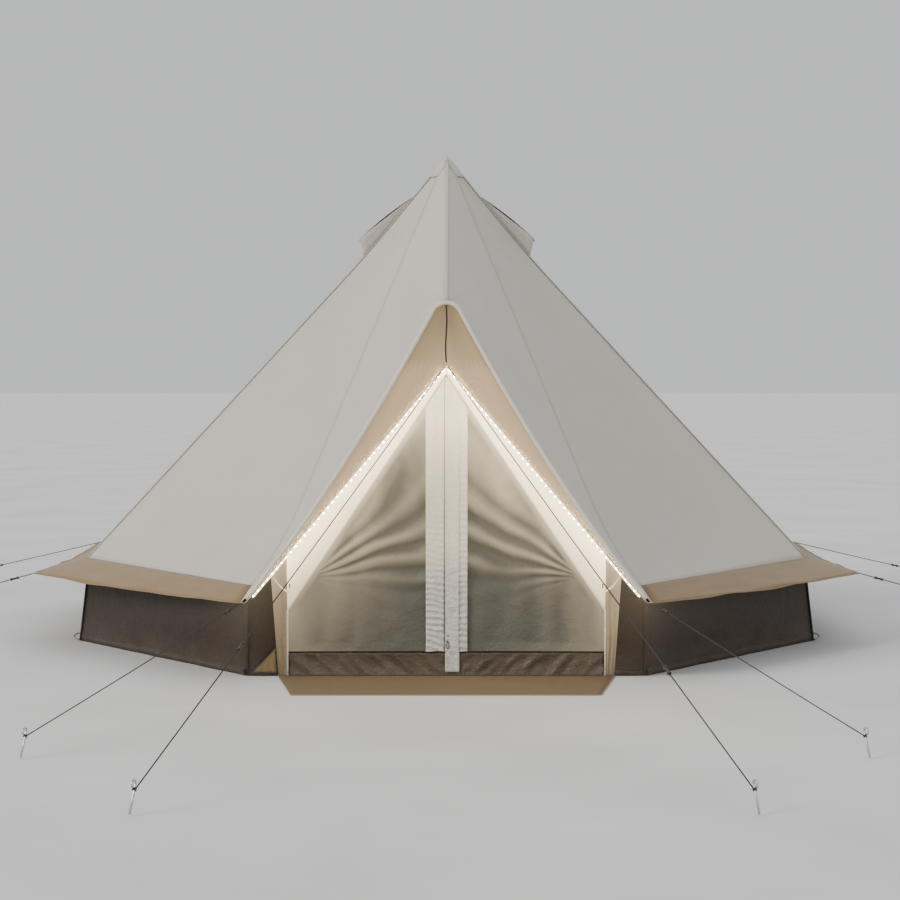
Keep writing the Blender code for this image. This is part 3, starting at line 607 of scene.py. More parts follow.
def cloth_from_grid(
    name: str,
    grids: Sequence[Grid],
    finish: Cloth,
    thickness: float = 0.0015,
    skip: Callable[[Vector], bool] | None = None,
    outward: Callable[[Vector], Vector] | None = None,
) -> bpy.types.Object:
    """Make one continuous cloth from rows of points.

    Args:
        name: The piece's name.
        grids: One or more grids of rows. Points that coincide are joined.
        finish: What it is made of.
        thickness: How thick the cloth is.
        skip: Tells which faces are left out, by their middles.
        outward: Gives the side that a face at a point looks to.

    Returns:
        The cloth, with a UV map in metres and an attribute of painted light and shade from the light strips.
    """
    bm = bmesh.new()
    laid = bm.loops.layers.uv.new("UVMap")
    for grid in grids:
        verts = [[bm.verts.new(point) for point in row] for row in grid]
        middle = len(grid[0]) // 2
        downs = [0.0]
        for before, row in zip(grid, grid[1:]):
            downs.append(downs[-1] + (row[middle] - before[middle]).length)
        overs = []
        for row in grid:
            over = [0.0]
            for before, point in zip(row, row[1:]):
                over.append(over[-1] + (point - before).length)
            overs.append([value - over[-1] / 2 for value in over])
        for i in range(len(grid) - 1):
            for j in range(len(grid[0]) - 1):
                spots = ((i, j), (i + 1, j), (i + 1, j + 1), (i, j + 1))
                face = bm.faces.new([verts[a][b] for a, b in spots])
                for loop, (a, b) in zip(face.loops, spots):
                    loop[laid].uv = (overs[a][b], downs[a])
    bmesh.ops.remove_doubles(bm, verts=bm.verts[:], dist=1e-5)
    if skip:
        gone = [face for face in bm.faces if skip(face.calc_center_median())]
        bmesh.ops.delete(bm, geom=gone, context="FACES")
    bmesh.ops.recalc_face_normals(bm, faces=bm.faces[:])
    if outward:
        bm.normal_update()
        votes = sum(
            face.normal.dot(outward(face.calc_center_median())) * face.calc_area()
            for face in bm.faces
        )
        if votes < 0:
            bmesh.ops.reverse_faces(bm, faces=bm.faces[:])
    made = new_object(name, bm, finish)
    # Painted light and shade from the light strips, kept per point for the cloth's emission.
    lit = made.data.attributes.new("glow", "FLOAT", "POINT")
    for vert, item in zip(made.data.vertices, lit.data):
        item.value = light_reach(vert.co)
    wall = made.modifiers.new("cloth_thickness", "SOLIDIFY")
    wall.thickness = thickness
    wall.offset = -1.0
    wall.use_even_offset = False
    return made


def away_from_pole(place: Vector) -> Vector:
    """Return the direction away from the pole and upwards at a point."""
    flat = Vector((place.x, place.y, 0.0))
    return (flat.normalized() if flat.length > 1e-6 else Vector()) + Vector((0.0, 0.0, 0.6))


def towards_door(place: Vector) -> Vector:
    """Return the direction that the doorway faces."""
    return Vector((0.0, -1.0, 0.0))


def upwards(place: Vector) -> Vector:
    """Return straight up."""
    return Vector((0.0, 0.0, 1.0))


def hang(
    piece: bpy.types.Object,
    body: str,
    nodes: Sequence[str] = (),
) -> None:
    """Attach a sheet to the body that carries it and hide the frame's nodes that it stands for.

    Args:
        piece: The cloth.
        body: The body that carries it.
        nodes: The frame's nodes that it stands for.
    """
    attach(piece, body)
    if nodes:
        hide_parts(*nodes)


def tube(
    name: str, points: Points, radius: float, finish: Cloth | Solid, sides: int = 10, closed: bool = False
) -> bpy.types.Object:
    """Make a round tube along a line.

    Args:
        name: The piece's name.
        points: The line that it follows.
        radius: Its radius.
        finish: What it is made of.
        sides: Faces round it.
        closed: Whether its ends join.

    Returns:
        The tube, with a UV map in metres along and around it.
    """
    bm = bmesh.new()
    laid = bm.loops.layers.uv.new("UVMap")
    count = len(points)
    rings, runs, run = [], [], 0.0
    side_way = None
    for index, point in enumerate(points):
        if closed:
            along = (points[(index + 1) % count] - points[index - 1]).normalized()
        else:
            along = (points[min(index + 1, count - 1)] - points[max(index - 1, 0)]).normalized()
        if side_way is None:
            hint = Vector((0, 0, 1)) if abs(along.z) < 0.9 else Vector((1, 0, 0))
            side_way = along.cross(hint).normalized()
        side_way = (side_way - along * side_way.dot(along)).normalized()
        up = along.cross(side_way)
        ring = []
        for side in range(sides):
            turn = math.tau * side / sides
            ring.append(bm.verts.new(point + (side_way * math.cos(turn) + up * math.sin(turn)) * radius))
        rings.append(ring)
        run += (point - points[index - 1]).length if index else 0.0
        runs.append(run)
    around = math.tau * radius / sides
    pairs = list(zip(range(count - 1), range(1, count)))
    if closed:
        pairs.append((count - 1, 0))
    for a, b in pairs:
        far = runs[b] if b else runs[-1] + (points[0] - points[-1]).length
        for side in range(sides):
            after = (side + 1) % sides
            face = bm.faces.new((rings[a][side], rings[a][after], rings[b][after], rings[b][side]))
            spots = ((runs[a], side), (runs[a], side + 1), (far, side + 1), (far, side))
            for loop, (length, step) in zip(face.loops, spots):
                loop[laid].uv = (length + step * around, length - step * around)
    if not closed:
        bm.faces.new(reversed(rings[0]))
        bm.faces.new(rings[-1])
    bmesh.ops.recalc_face_normals(bm, faces=bm.faces[:])
    made = new_object(name, bm, finish)
    # Painted light and shade from the light strips, kept per point for the emission of cloth tubes.
    lit = made.data.attributes.new("glow", "FLOAT", "POINT")
    for vert, item in zip(made.data.vertices, lit.data):
        item.value = light_reach(vert.co)
    return made


def ribbon(
    name: str,
    points: Points,
    across: Callable[[int, Vector], Vector],
    width: float,
    finish: Cloth,
    thickness: float = 0.0012,
    columns: int = 3,
) -> bpy.types.Object:
    """Make a flat strip of cloth along a line.

    Args:
        name: The piece's name.
        points: The strip's middle line.
        across: Gives the strip's sideways direction at each point.
        width: How wide the strip is.
        finish: What it is made of.
        thickness: How thick it is.
        columns: Points across it.

    Returns:
        The strip.
    """
    grid = []
    for index, point in enumerate(points):
        side = across(index, point).normalized()
        shares = [step / (columns - 1) - 0.5 for step in range(columns)]
        grid.append([point + side * width * share for share in shares])
    made = cloth_from_grid(name, [grid], finish, thickness)
    made.modifiers["cloth_thickness"].offset = 0.0
    return made


def join(name: str, pieces: Sequence[bpy.types.Object]) -> bpy.types.Object:
    """Bake several pieces into one mesh with their modifiers applied.

    Args:
        name: The joined piece's name.
        pieces: The pieces, which are removed.

    Returns:
        The joined piece.
    """
    graph = bpy.context.evaluated_depsgraph_get()
    bm = bmesh.new()
    finish = pieces[0].data.materials[0]
    for piece in pieces:
        baked = bpy.data.meshes.new_from_object(piece.evaluated_get(graph), depsgraph=graph)
        bm.from_mesh(baked)
        bpy.data.meshes.remove(baked)
        bpy.data.objects.remove(piece, do_unlink=True)
    mesh = bpy.data.meshes.new(name)
    bm.to_mesh(mesh)
    bm.free()
    mesh.materials.clear()
    mesh.materials.append(finish)
    mesh.shade_smooth()
    made = bpy.data.objects.new(name, mesh)
    bpy.context.collection.objects.link(made)
    return made


class Item(Enum):
    """What is repeated along a line, as the size of one item in metres."""

    STITCH = (0.0050, 0.0009, 0.0009)
    LIGHT = (0.0060, 0.0050, 0.0050)
    TOOTH = (0.0022, 0.0050, 0.0020)


def repeat_tree(finish: bpy.types.Material) -> bpy.types.NodeTree:
    """Make the Geometry Nodes tree that sets small beads along lines.

    Args:
        finish: The material of the beads.

    Returns:
        A tree with inputs for the pitch and the size of one bead.
    """
    tree = bpy.data.node_groups.new("beads_along_lines", "GeometryNodeTree")
    face = tree.interface
    face.new_socket(name="Lines", in_out="INPUT", socket_type="NodeSocketGeometry")
    face.new_socket(name="Pitch", in_out="INPUT", socket_type="NodeSocketFloat")
    face.new_socket(name="Size", in_out="INPUT", socket_type="NodeSocketVector")
    face.new_socket(name="Beads", in_out="OUTPUT", socket_type="NodeSocketGeometry")
    kinds = (
        "NodeGroupInput", "GeometryNodeMeshToCurve", "GeometryNodeCurveToPoints",
        "GeometryNodeMeshIcoSphere", "GeometryNodeInstanceOnPoints", "GeometryNodeTransform",
        "GeometryNodeRealizeInstances", "GeometryNodeSetMaterial", "NodeGroupOutput",
        "FunctionNodeAlignRotationToVector",
    )
    start, curve, points, bead, copies, sized, real, painted, end, turned = (
        tree.nodes.new(kind) for kind in kinds
    )
    points.mode = "LENGTH"
    bead.inputs["Radius"].default_value = 0.5
    bead.inputs["Subdivisions"].default_value = 1
    turned.axis = "X"
    painted.inputs["Material"].default_value = finish
    links = tree.links
    links.new(start.outputs["Lines"], curve.inputs[0])
    links.new(curve.outputs[0], points.inputs[0])
    links.new(start.outputs["Pitch"], points.inputs["Length"])
    links.new(points.outputs["Points"], copies.inputs["Points"])
    links.new(points.outputs["Tangent"], turned.inputs["Vector"])
    links.new(turned.outputs[0], copies.inputs["Rotation"])
    links.new(bead.outputs[0], sized.inputs["Geometry"])
    links.new(start.outputs["Size"], sized.inputs["Scale"])
    links.new(sized.outputs[0], copies.inputs["Instance"])
    links.new(copies.outputs[0], real.inputs[0])
    links.new(real.outputs[0], painted.inputs["Geometry"])
    links.new(painted.outputs[0], end.inputs[0])
    return tree


def beads(
    name: str, lines: Sequence[Points], item: Item, pitch: float, finish: Solid
) -> bpy.types.Object:
    """Set small items along lines and bake them into one mesh.

    Args:
        name: The piece's name.
        lines: The lines that they follow.
        item: What is repeated.
        pitch: The distance from one item to the next.
        finish: What they are made of.

    Returns:
        The baked mesh.
    """
    mesh = bpy.data.meshes.new(name + "_lines")
    verts, edges = [], []
    for line in lines:
        first = len(verts)
        verts += [tuple(point) for point in line]
        edges += [(index, index + 1) for index in range(first, len(verts) - 1)]
    mesh.from_pydata(verts, edges, [])
    carrier = bpy.data.objects.new(name + "_lines", mesh)
    bpy.context.collection.objects.link(carrier)
    material = finish.build()
    modifier = carrier.modifiers.new("beads", "NODES")
    modifier.node_group = repeat_tree(material)
    values = {"Pitch": pitch, "Size": item.value}
    for socket in modifier.node_group.interface.items_tree:
        if socket.in_out == "INPUT" and socket.name in values:
            modifier[socket.identifier] = values[socket.name]
    bpy.context.view_layer.update()
    graph = bpy.context.evaluated_depsgraph_get()
    baked = bpy.data.meshes.new_from_object(carrier.evaluated_get(graph), depsgraph=graph)
    baked.name = name
    carrier.modifiers.remove(modifier)
    bpy.data.objects.remove(carrier, do_unlink=True)
    if not baked.materials:
        baked.materials.append(material)
    baked.shade_smooth()
    made = bpy.data.objects.new(name, baked)
    bpy.context.collection.objects.link(made)
    return made


def carry(piece: bpy.types.Object, body: str, nodes: Sequence[str] = ()) -> None:
    """Let a piece ride on a body and hide the frame's nodes that it stands for.

    Args:
        piece: The piece.
        body: The body that carries it.
        nodes: The frame's nodes that it stands for.
    """
    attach(piece, body)
    if nodes:
        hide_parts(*nodes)


# ---------------------------------------------------------------- camera and studio


@dataclass
class Studio:
    """The camera, the pale floor and the soft lights."""

    distance: float = 10.5
    eye_height: float = 1.418
    eye_x: float = 0.0175
    pitch: float = 2.30
    lens: float = 72.05
    floor_half: float = 160.0

    def build(self) -> None:
        """Make the camera, the floor, the world and the lights."""
        lens = bpy.data.cameras.new("camera")
        lens.lens = self.lens
        lens.sensor_width = 36.0
        lens.clip_end = 400.0
        camera = bpy.data.objects.new("camera", lens)
        camera.location = (self.eye_x, -self.distance, self.eye_height)
        camera.rotation_euler = (math.radians(90.0 - self.pitch), 0.0, 0.0)
        bpy.context.collection.objects.link(camera)
        bpy.context.scene.camera = camera
        self._floor()
        self._world()
        self._light("key", (-8.5, -5.0, 6.0), 24.0, 2.1, (1.0, 0.97, 0.93))
        self._light("fill", (7.0, -6.0, 4.0), 60.0, 0.40, (0.95, 0.97, 1.0))
        self._light("rim", (0.5, 7.5, 9.0), 50.0, 0.55, (1.0, 1.0, 1.0))

    def _floor(self) -> None:
        """Make the pale floor."""
        bm = bmesh.new()
        half = self.floor_half
        corners = ((-half, -half), (half, -half), (half, half), (-half, half))
        bm.faces.new([bm.verts.new((x, y, -0.001)) for x, y in corners])
        plain = Solid("studio_floor", (0.80, 0.797, 0.79), 0.95, grain=0.0, grain_scale=1.0)
        floor = new_object("studio_floor", bm, plain)

    def _world(self) -> None:
        """Light the whole scene evenly from around."""
        world = bpy.data.worlds.new("studio")
        world.use_nodes = True
        sky = world.node_tree.nodes["Background"]
        sky.inputs["Color"].default_value = (0.86, 0.87, 0.89, 1.0)
        sky.inputs["Strength"].default_value = 0.80
        bpy.context.scene.world = world

    def _light(
        self, name: str, place: Colour, spread: float, power: float, colour: Colour
    ) -> None:
        """Make one broad, soft light that looks at the tent.

        Args:
            name: The light's name.
            place: The side that it comes from.
            spread: How wide it looks, in degrees.
            power: Its strength.
            colour: Its colour.
        """
        lamp = bpy.data.lights.new(name, "SUN")
        lamp.angle = math.radians(spread)
        lamp.energy = power
        lamp.color = colour
        made = bpy.data.objects.new(name, lamp)
        made.location = place
        aim = Vector((0.0, -0.5, 0.9)) - Vector(place)
        made.rotation_euler = aim.to_track_quat("-Z", "Y").to_euler()
        bpy.context.collection.objects.link(made)


# ---------------------------------------------------------------- guy lines


@dataclass(frozen=True)
class Line:
    """One guy line: its stake, how far along it the tensioner sits, and its length."""

    name: str
    stake: tuple[float, float]
    share: float
    length: float


@dataclass
class GuyLines:
    """The ten taut cords with their tensioners and stakes."""

    radius: float = 0.0025
    sag: float = 0.002
    stake_radius: float = 0.004
    stake_height: float = 0.10
    hold_height: float = 0.08
    lean: float = 0.04
    gap: float = 0.0005
    ring_centre: tuple[float, float, float] = (0.0, -2.015, 1.476)
    lines: tuple[Line, ...] = (
        Line("door_left", (-1.01, -4.69), 0.737, 3.1635),
        Line("door_right", (1.01, -4.69), 0.785, 3.1635),
        Line("front_left", (-1.57, -3.82), 0.072, 1.7543),
        Line("front_right", (1.57, -3.82), 0.072, 1.7543),
        Line("side_left", (-3.40, -1.41), 0.075, 1.3121),
        Line("side_right", (3.40, -1.41), 0.075, 1.3121),
        Line("back_side_left", (-3.40, 1.41), 0.60, 1.3121),
        Line("back_side_right", (3.40, 1.41), 0.60, 1.3121),
        Line("back_left", (-1.14, 2.75), 0.30, 0.6454),
        Line("back_right", (1.14, 2.75), 0.30, 0.6454),
    )

    def _start(self, line: Line) -> Vector:
        """Return where a line leaves the tent."""
        side = math.copysign(1.0, line.stake[0])
        if line.name.startswith("door"):
            return Vector(self.ring_centre) + Vector((side * 0.0085, -0.0045, -0.0085))
        corners = {"front": SHAPE.front_hip, "side": 67.5, "back_side": 112.5, "back": 157.5}
        corner = SHAPE.eave_tip(side * corners[line.name.rpartition("_")[0]])
        outward = Vector((corner.x, corner.y, 0.0)).normalized()
        return corner + outward * (self.radius + 2 * self.gap) - Vector((0.0, 0.0, 0.0025))

    def _stake(self, line: Line, start: Vector) -> tuple[Vector, Vector, Vector]:
        """Return a stake's foot, its head and the way it leans."""
        ground = Vector((*line.stake, 0.0))
        outward = Vector((ground.x - start.x, ground.y - start.y, 0.0)).normalized()
        foot = ground + outward * self.lean * 0.75
        head = ground - outward * self.lean * 0.25
        foot.z, head.z = self.stake_radius, self.stake_height
        return foot, head, outward

    def _point(self, start: Vector, end: Vector, share: float) -> Vector:
        """Return a point on the line, which sags a little."""
        drop = 4 * self.sag * (end - start).length * share * (1 - share)
        return start.lerp(end, share) - Vector((0.0, 0.0, drop))

    def build(self) -> None:
        for line in self.lines:
            start = self._start(line)
            foot, head, outward = self._stake(line, start)
            share = (self.hold_height - foot.z) / (head.z - foot.z)
            held = foot.lerp(head, share)
            end = held - outward * (self.stake_radius + self.radius + 2 * self.gap)
            path = [self._point(start, end, step / 30) for step in range(31)]
            rope = tube(f"cord_{line.name}", path, self.radius, CORD, sides=8)
            carry(rope, "tent", [f"rope_{line.name}"])
            tensioner = self._tensioner(line, start, end)
            stake = self._peg(line, foot, head, outward)
            loop = self._loop(line, held, foot, head)
            LOG.info("guy line %s: %.2f m", line.name, line.length)

    def _tensioner(self, line: Line, start: Vector, end: Vector) -> bpy.types.Object:
        """Make the tensioner: a waisted body with a collar at each end."""
        centre = self._point(start, end, line.share)
        ahead = self._point(start, end, line.share + 0.01)
        along = (ahead - self._point(start, end, line.share - 0.01)).normalized()
        across = along.cross(Vector((0.0, 0.0, 1.0))).normalized()
        up = across.cross(along)
        profile = (
            (-0.0225, 0.0034), (-0.0225, 0.0068), (-0.0205, 0.0080), (-0.0165, 0.0080),
            (-0.0140, 0.0058), (-0.0050, 0.0052), (0.0050, 0.0052), (0.0140, 0.0058),
            (0.0165, 0.0080), (0.0205, 0.0080), (0.0225, 0.0068), (0.0225, 0.0034),
        )
        bm = bmesh.new()
        rings = []
        for side in range(16):
            turn = math.tau * side / 16
            outward = across * math.cos(turn) + up * math.sin(turn)
            rings.append([bm.verts.new(centre + outward * r + along * a) for a, r in profile])
        for index, ring in enumerate(rings):
            before = rings[index - 1]
            for spot in range(len(ring)):
                bm.faces.new((before[spot - 1], before[spot], ring[spot], ring[spot - 1]))
        bmesh.ops.recalc_face_normals(bm, faces=bm.faces[:])
        made = new_object(f"tensioner_body_{line.name}", bm, BLACK_PLASTIC)
        made.data.set_sharp_from_angle(angle=math.radians(50))
        carry(made, f"tensioner_{line.name}", [f"slider_{line.name}"])
        return made

    def _peg(self, line: Line, foot: Vector, head: Vector, outward: Vector) -> bpy.types.Object:
        """Make the stake: a steel rod with a hooked head."""
        up = Vector((0.0, 0.0, 1.0))
        turns = (
            (0.0, -0.004), (0.001, 0.003), (0.004, 0.008), (0.009, 0.0104), (0.014, 0.0104),
            (0.019, 0.0080), (0.0225, 0.003), (0.024, -0.004), (0.024, -0.010),
        )
        path = [foot, foot.lerp(head, 0.5), foot.lerp(head, 0.9)]
        path += [head + outward * a + up * b for a, b in turns]
        made = tube(f"peg_{line.name}", path, self.stake_radius, STEEL, sides=12)
        carry(made, "tent", [f"stake_{line.name}"])
        return made

    def _loop(self, line: Line, held: Vector, foot: Vector, head: Vector) -> bpy.types.Object:
        """Make the cord's two turns round its stake."""
        along = (head - foot).normalized()
        side = along.cross(Vector((0.0, 0.0, 1.0))).normalized()
        other = along.cross(side)
        reach = self.stake_radius + self.radius * 0.9
        path = []
        for step in range(33):
            turn = math.tau * step / 16
            place = (side * math.cos(turn) + other * math.sin(turn)) * reach
            path.append(held + place + along * (step / 32 - 0.5) * 0.010)
        made = tube(f"hitch_{line.name}", path, self.radius * 0.9, CORD, sides=8)
        carry(made, "tent")
        return made


# ---------------------------------------------------------------- roof


@dataclass
class Roof:
    """The canopy with its seams, the eave band, the peak cap and the vents."""

    rows: int = 84
    columns: int = 18
    gore_columns: int = 14
    vent_row: int = 2
    vent_sides: tuple[float, float] = (0.2, 0.8)
    slack: float = 0.022
    tape_width: float = 0.022
    cap_radius: float = 0.11
    hood_tuck: float = 0.008

    def _crease(self, place: Vector, along: float) -> float:
        """Return the cloth's small ripples at a point, in metres."""
        turn = math.atan2(place.x, -place.y)
        low = ripple(Vector((turn * 7.0, along * 2.0, 0.0)), 1.0, 3.1)
        fine = ripple(Vector((turn * 26.0, along * 3.5, 0.0)), 1.0, 8.4)
        return 0.0045 * low + 0.0016 * fine * min(1.0, along * 3.0)

    def panel_point(self, left: float, right: float, across: float, down: float) -> Vector:
        """Find a point on a roof panel between two hips.

        Args:
            left: The azimuth of one hip.
            right: The azimuth of the other hip.
            across: 0 on the one and 1 on the other.
            down: 0 at the peak and 1 at the seam.

        Returns:
            The point on the slack cloth.
        """
        a, b = SHAPE.hip(left, down), SHAPE.hip(right, down)
        place = a.lerp(b, across)
        edge = math.sin(math.pi * across)
        depth = edge * math.sin(math.pi * min(1.0, down) ** 0.8) * self.slack
        outward = away_from_pole(place).normalized()
        return place + outward * (edge * self._crease(place, down) - depth)

    def inner_line(self) -> Points:
        """Return the right gore's inner edge: the ridge, then the hood's edge."""
        edge = SHAPE.hood_edge(self.hood_tuck)
        peak = Vector((0.0, 0.0, SHAPE.peak))
        ridge = [peak.lerp(edge[0], step / 24) for step in range(24)]
        return ridge + edge

    def gore_point(self, inner: Vector, outer: Vector, across: float, down: float) -> Vector:
        """Find a point on a front gore.

        Args:
            inner: The gore's edge on the ridge or hood, in this row.
            outer: Its edge on the front hip, in this row.
            across: 0 on the inner edge and 1 on the outer one.
            down: 0 at the peak and 1 at the seam.

        Returns:
            The point on the slack cloth.
        """
        place = inner.lerp(outer, across)
        edge = math.sin(math.pi * across)
        fold = ripple(Vector((across * 5.0, down * 1.6, 0.0)), 1.0, 12.0)
        depth = 0.020 * edge * math.sin(math.pi * down)
        outward = Vector((math.copysign(0.35, place.x), -0.8, 0.5)).normalized()
        return place + outward * (edge * 0.007 * fold - depth)

    def _gore(self, side: Callable[[Vector], Vector]) -> Grid:
        """Return one front gore's grid, down to the eave corner."""
        inner = self.inner_line()
        grid = []
        tip = SHAPE.eave_tip(SHAPE.front_hip)
        for row in range(91):
            down = min(1.0, row / self.rows)
            outer = SHAPE.hip(SHAPE.front_hip, down)
            if row > self.rows:
                outer = outer.lerp(tip, (row - self.rows) / 6)
            points = []
            for step in range(self.gore_columns + 1):
                share = step / self.gore_columns
                points.append(side(self.gore_point(inner[row], outer, share, row / 90)))
            grid.append(points)
        return grid

    def build(self) -> None:
        """Make the roof's pieces."""
        self._canopy()
        self._tapes()
        self._band()
        self._cap()
        for side, end in ((Vector, "right"), (mirrored, "left")):
            self._vent(side, end)
        LOG.info("roof: canopy, tapes, band, cap and two vents")

    def _canopy(self) -> None:
        """Make the canopy as one cloth with its two vent openings."""
        grids = []
        hips = SHAPE.hips()
        for left, right in zip(hips, hips[1:]):
            if left > 0 > right:
                right += 360.0
            grid = []
            for row in range(self.rows + 1):
                down = row / self.rows
                shares = [step / self.columns for step in range(self.columns + 1)]
                grid.append([self._wrapped(left, right, share, down) for share in shares])
            grids.append(grid)
        grids += [self._gore(Vector), self._gore(mirrored)]
        high = SHAPE.hip(67.5, self.vent_row / 14).z
        low = SHAPE.hip(67.5, (self.vent_row + 1) / 14).z

        def in_vent(middle: Vector) -> bool:
            """Tell whether a face lies in a vent's opening."""
            reach = abs(middle.x) / math.cos(math.radians(22.5))
            half = reach * math.sin(math.radians(22.5)) * (1 - 2 * self.vent_sides[0])
            return low < middle.z < high and abs(middle.y) < half

        canopy = cloth_from_grid(
            "canopy_cloth", grids, ROOF, 0.0014, skip=in_vent, outward=away_from_pole
        )
        hang(canopy, "tent", ["canopy"])

    def _wrapped(self, left: float, right: float, share: float, down: float) -> Vector:
        """Return a panel's point, whichever way round the azimuths are given."""
        wrap = right - 360.0 if right > 180.0 else right
        return self.panel_point(left, wrap, share, down)

    def _hip_line(self, azimuth: float, lift: float, shift: float, top: float = 0.046) -> Points:
        """Return a line beside a hip, on top of the cloth.

        Args:
            azimuth: The hip.
            lift: How far it lies above the cloth.
            shift: How far it lies to the hip's side.
            top: The share of the hip where it starts.

        Returns:
            The line's points.
        """
        points = []
        sideways = polar(1.0, azimuth + 90.0, 0.0)
        for step in range(61):
            place = SHAPE.hip(azimuth, top + (0.998 - top) * step / 60)
            points.append(place + away_from_pole(place).normalized() * lift + sideways * shift)
        return points

    def _tapes(self) -> None:
        """Make the felled seams over the hips and the ridge, with two rows of stitches each."""
        tapes, rows = [], []
        for azimuth in SHAPE.hips():
            line = self._hip_line(azimuth, 0.0012, 0.0)
            sideways = polar(1.0, azimuth + 90.0, 0.0)
            tapes.append(
                ribbon(f"tape_{azimuth}", line, lambda i, p, s=sideways: s, self.tape_width, TAPE)
            )
            for shift in (-0.008, 0.008):
                rows.append(self._hip_line(azimuth, 0.0022, shift))
        ridge = [point + Vector((0, 0, 0.0012)) for point in self.inner_line()[1:25]]
        across = Vector((1.0, 0.0, 0.0))
        tapes.append(ribbon("tape_ridge", ridge, lambda i, p: across, self.tape_width, TAPE))
        for shift in (-0.008, 0.008):
            rows.append([point + Vector((shift, 0, 0.0012)) for point in ridge])
        joined = join("roof_seams", tapes)
        carry(joined, "tent")
        stitches = beads("roof_stitches", rows, Item.STITCH, 0.011, THREAD)
        carry(stitches, "tent")

    def _band(self) -> None:
        """Make the eave band, its rolled hem and its corner rings."""
        hips = SHAPE.hips()
        grids, hem, rows = [], [], []
        for left, right in zip(hips, hips[1:]):
            grid = []
            for row in range(9):
                share = row / 8
                points = []
                for step in range(25):
                    across = step / 24
                    seam = SHAPE.hip(left, 1.0).lerp(SHAPE.hip(right, 1.0), across)
                    tip = SHAPE.eave_tip(left).lerp(SHAPE.eave_tip(right), across)
                    edge = math.sin(math.pi * across)
                    scoop = away_from_pole(tip) * -0.014 * edge * share
                    drop = Vector((0.0, 0.0, -0.006 * edge * share))
                    wave = ripple(tip + seam * share, 2.4, 5.0) * 0.012 * edge * share**0.6
                    points.append(seam.lerp(tip, share) + scoop + drop + Vector((0, 0, wave)))
                grid.append(points)
            grids.append(grid)
            hem += grid[-1] if not hem else grid[-1][1:]
            lift = Vector((0.0, 0.0, 0.0008))
            rows.append([point + lift for point in grid[1]])
            rows.append([point + lift for point in grid[7]])
        band = cloth_from_grid("eave_cloth", grids, BAND, 0.0014, outward=upwards)
        hang(band, "tent", ["eave_band"])
        roll = tube("eave_hem", hem, 0.0035, BAND, sides=8)
        carry(roll, "tent")
        stitches = beads("eave_stitches", rows, Item.STITCH, 0.012, THREAD)
        carry(stitches, "tent")
        rings = []
        for azimuth in hips:
            tip = SHAPE.eave_tip(azimuth)
            outward = polar(1.0, azimuth, 0.0)
            sideways = polar(1.0, azimuth + 90.0, 0.0)
            centre = tip - outward * 0.016
            path = [
                centre + outward * 0.009 * math.cos(math.tau * k / 20)
                + sideways * 0.009 * math.sin(math.tau * k / 20) + Vector((0, 0, 0.0015))
                for k in range(20)
            ]
            rings.append(tube(f"ring_{azimuth}", path, 0.0022, STEEL, 8, closed=True))
        eyelets = join("corner_eyelets", rings)
        carry(eyelets, "tent")

    def _cap(self) -> None:
        """Make the stitched cap over the peak."""
        grid = []
        hips = SHAPE.hips()
        edge = self.inner_line()
        for row in range(13):
            down = row / 12
            ring = []
            for azimuth in (*hips, 0.0):
                if azimuth:
                    place = SHAPE.hip(azimuth, down * self.cap_radius / SHAPE.seam[0])
                else:
                    place = Vector((0, 0, SHAPE.peak)).lerp(edge[24], down * self.cap_radius / 2.16)
                swell = 0.0045 - 0.0015 * down + 0.006 * math.sin(math.pi * down)
                ring.append(Vector((place.x, place.y, min(2.7028, place.z + swell))))
            ring.append(ring[0].copy())
            grid.append(ring)
        cap = cloth_from_grid("peak_cap_cloth", [grid], ROOF, 0.0016, outward=upwards)
        hang(cap, "tent", ["peak_cap"])
        row = [point + Vector((0, 0, 0.001)) for point in grid[11]]
        carry(beads("cap_stitches", [row], Item.STITCH, 0.009, THREAD), "tent")

    def _vent(self, side: Callable[[Vector], Vector], end: str) -> None:
        """Make one vent: its hood with cheeks, and the net in the opening under it.

        Args:
            side: Puts a right-hand point on the wanted side.
            end: The side's name.
        """
        top, tip = Vector((0.19, 0.0, 2.4666)), Vector((0.496, 0.0, 2.213))
        grid = []
        for row in range(15):
            down = row / 14
            half = 0.05 + 0.14 * down
            ridge = top.lerp(tip, down) + Vector((0.0, 0.0, 0.012 * math.sin(math.pi * down)))
            points = []
            for step in range(21):
                across = step / 10 - 1.0
                bow = 0.010 * down * (1 - across**2)
                wave = 0.002 * ripple(Vector((across * 2, down * 3, 0)), 1.0, 2.0) * down
                points.append(side(ridge + Vector((0.0, across * half, bow + wave))))
            grid.append(points)
        lip = [point + side(Vector((0.004, 0.0, -0.014))) for point in grid[-1]]
        grid.append(lip)
        hood = cloth_from_grid(f"vent_hood_cloth_{end}", [grid], ROOF, 0.0016, outward=upwards)
        body = f"vent_flap_{end}"
        hang(hood, body,
             [f"vent_hood_{end}"])
        wing = []
        for sign in (-1, 1):
            cheek = []
            for row in range(11):
                down = 0.06 + 0.94 * row / 10
                half = 0.05 + 0.14 * down
                upper = top.lerp(tip, down) + Vector((0.0, sign * half, 0.0))
                lower = upper.copy()
                lower.x = 0.19 + (0.474 - 0.19) * down
                radius = lower.x / math.cos(math.radians(22.5))
                lower.z = SHAPE.hip(67.5, radius / SHAPE.seam[0]).z + 0.004
                lower.z = min(lower.z, upper.z)
                cheek.append([side(upper.lerp(lower, k / 4)) for k in range(5)])
            wing.append(cheek)
        cheeks = cloth_from_grid(f"vent_cheeks_{end}", wing, ROOF, 0.0012)
        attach(cheeks, body)
        hem = tube(f"vent_hem_{end}", grid[-1], 0.003, TAPE, 8)
        carry(hem, body)
        rows = [[point + Vector((0, 0, 0.001)) for point in grid[k]] for k in (1, 13)]
        carry(beads(f"vent_stitches_{end}", rows, Item.STITCH, 0.009, THREAD), body)
        net = []
        for row in range(9):
            down = (self.vent_row - 0.1 + 1.2 * row / 8) / 14
            ends = SHAPE.hip(67.5, down), SHAPE.hip(112.5, down)
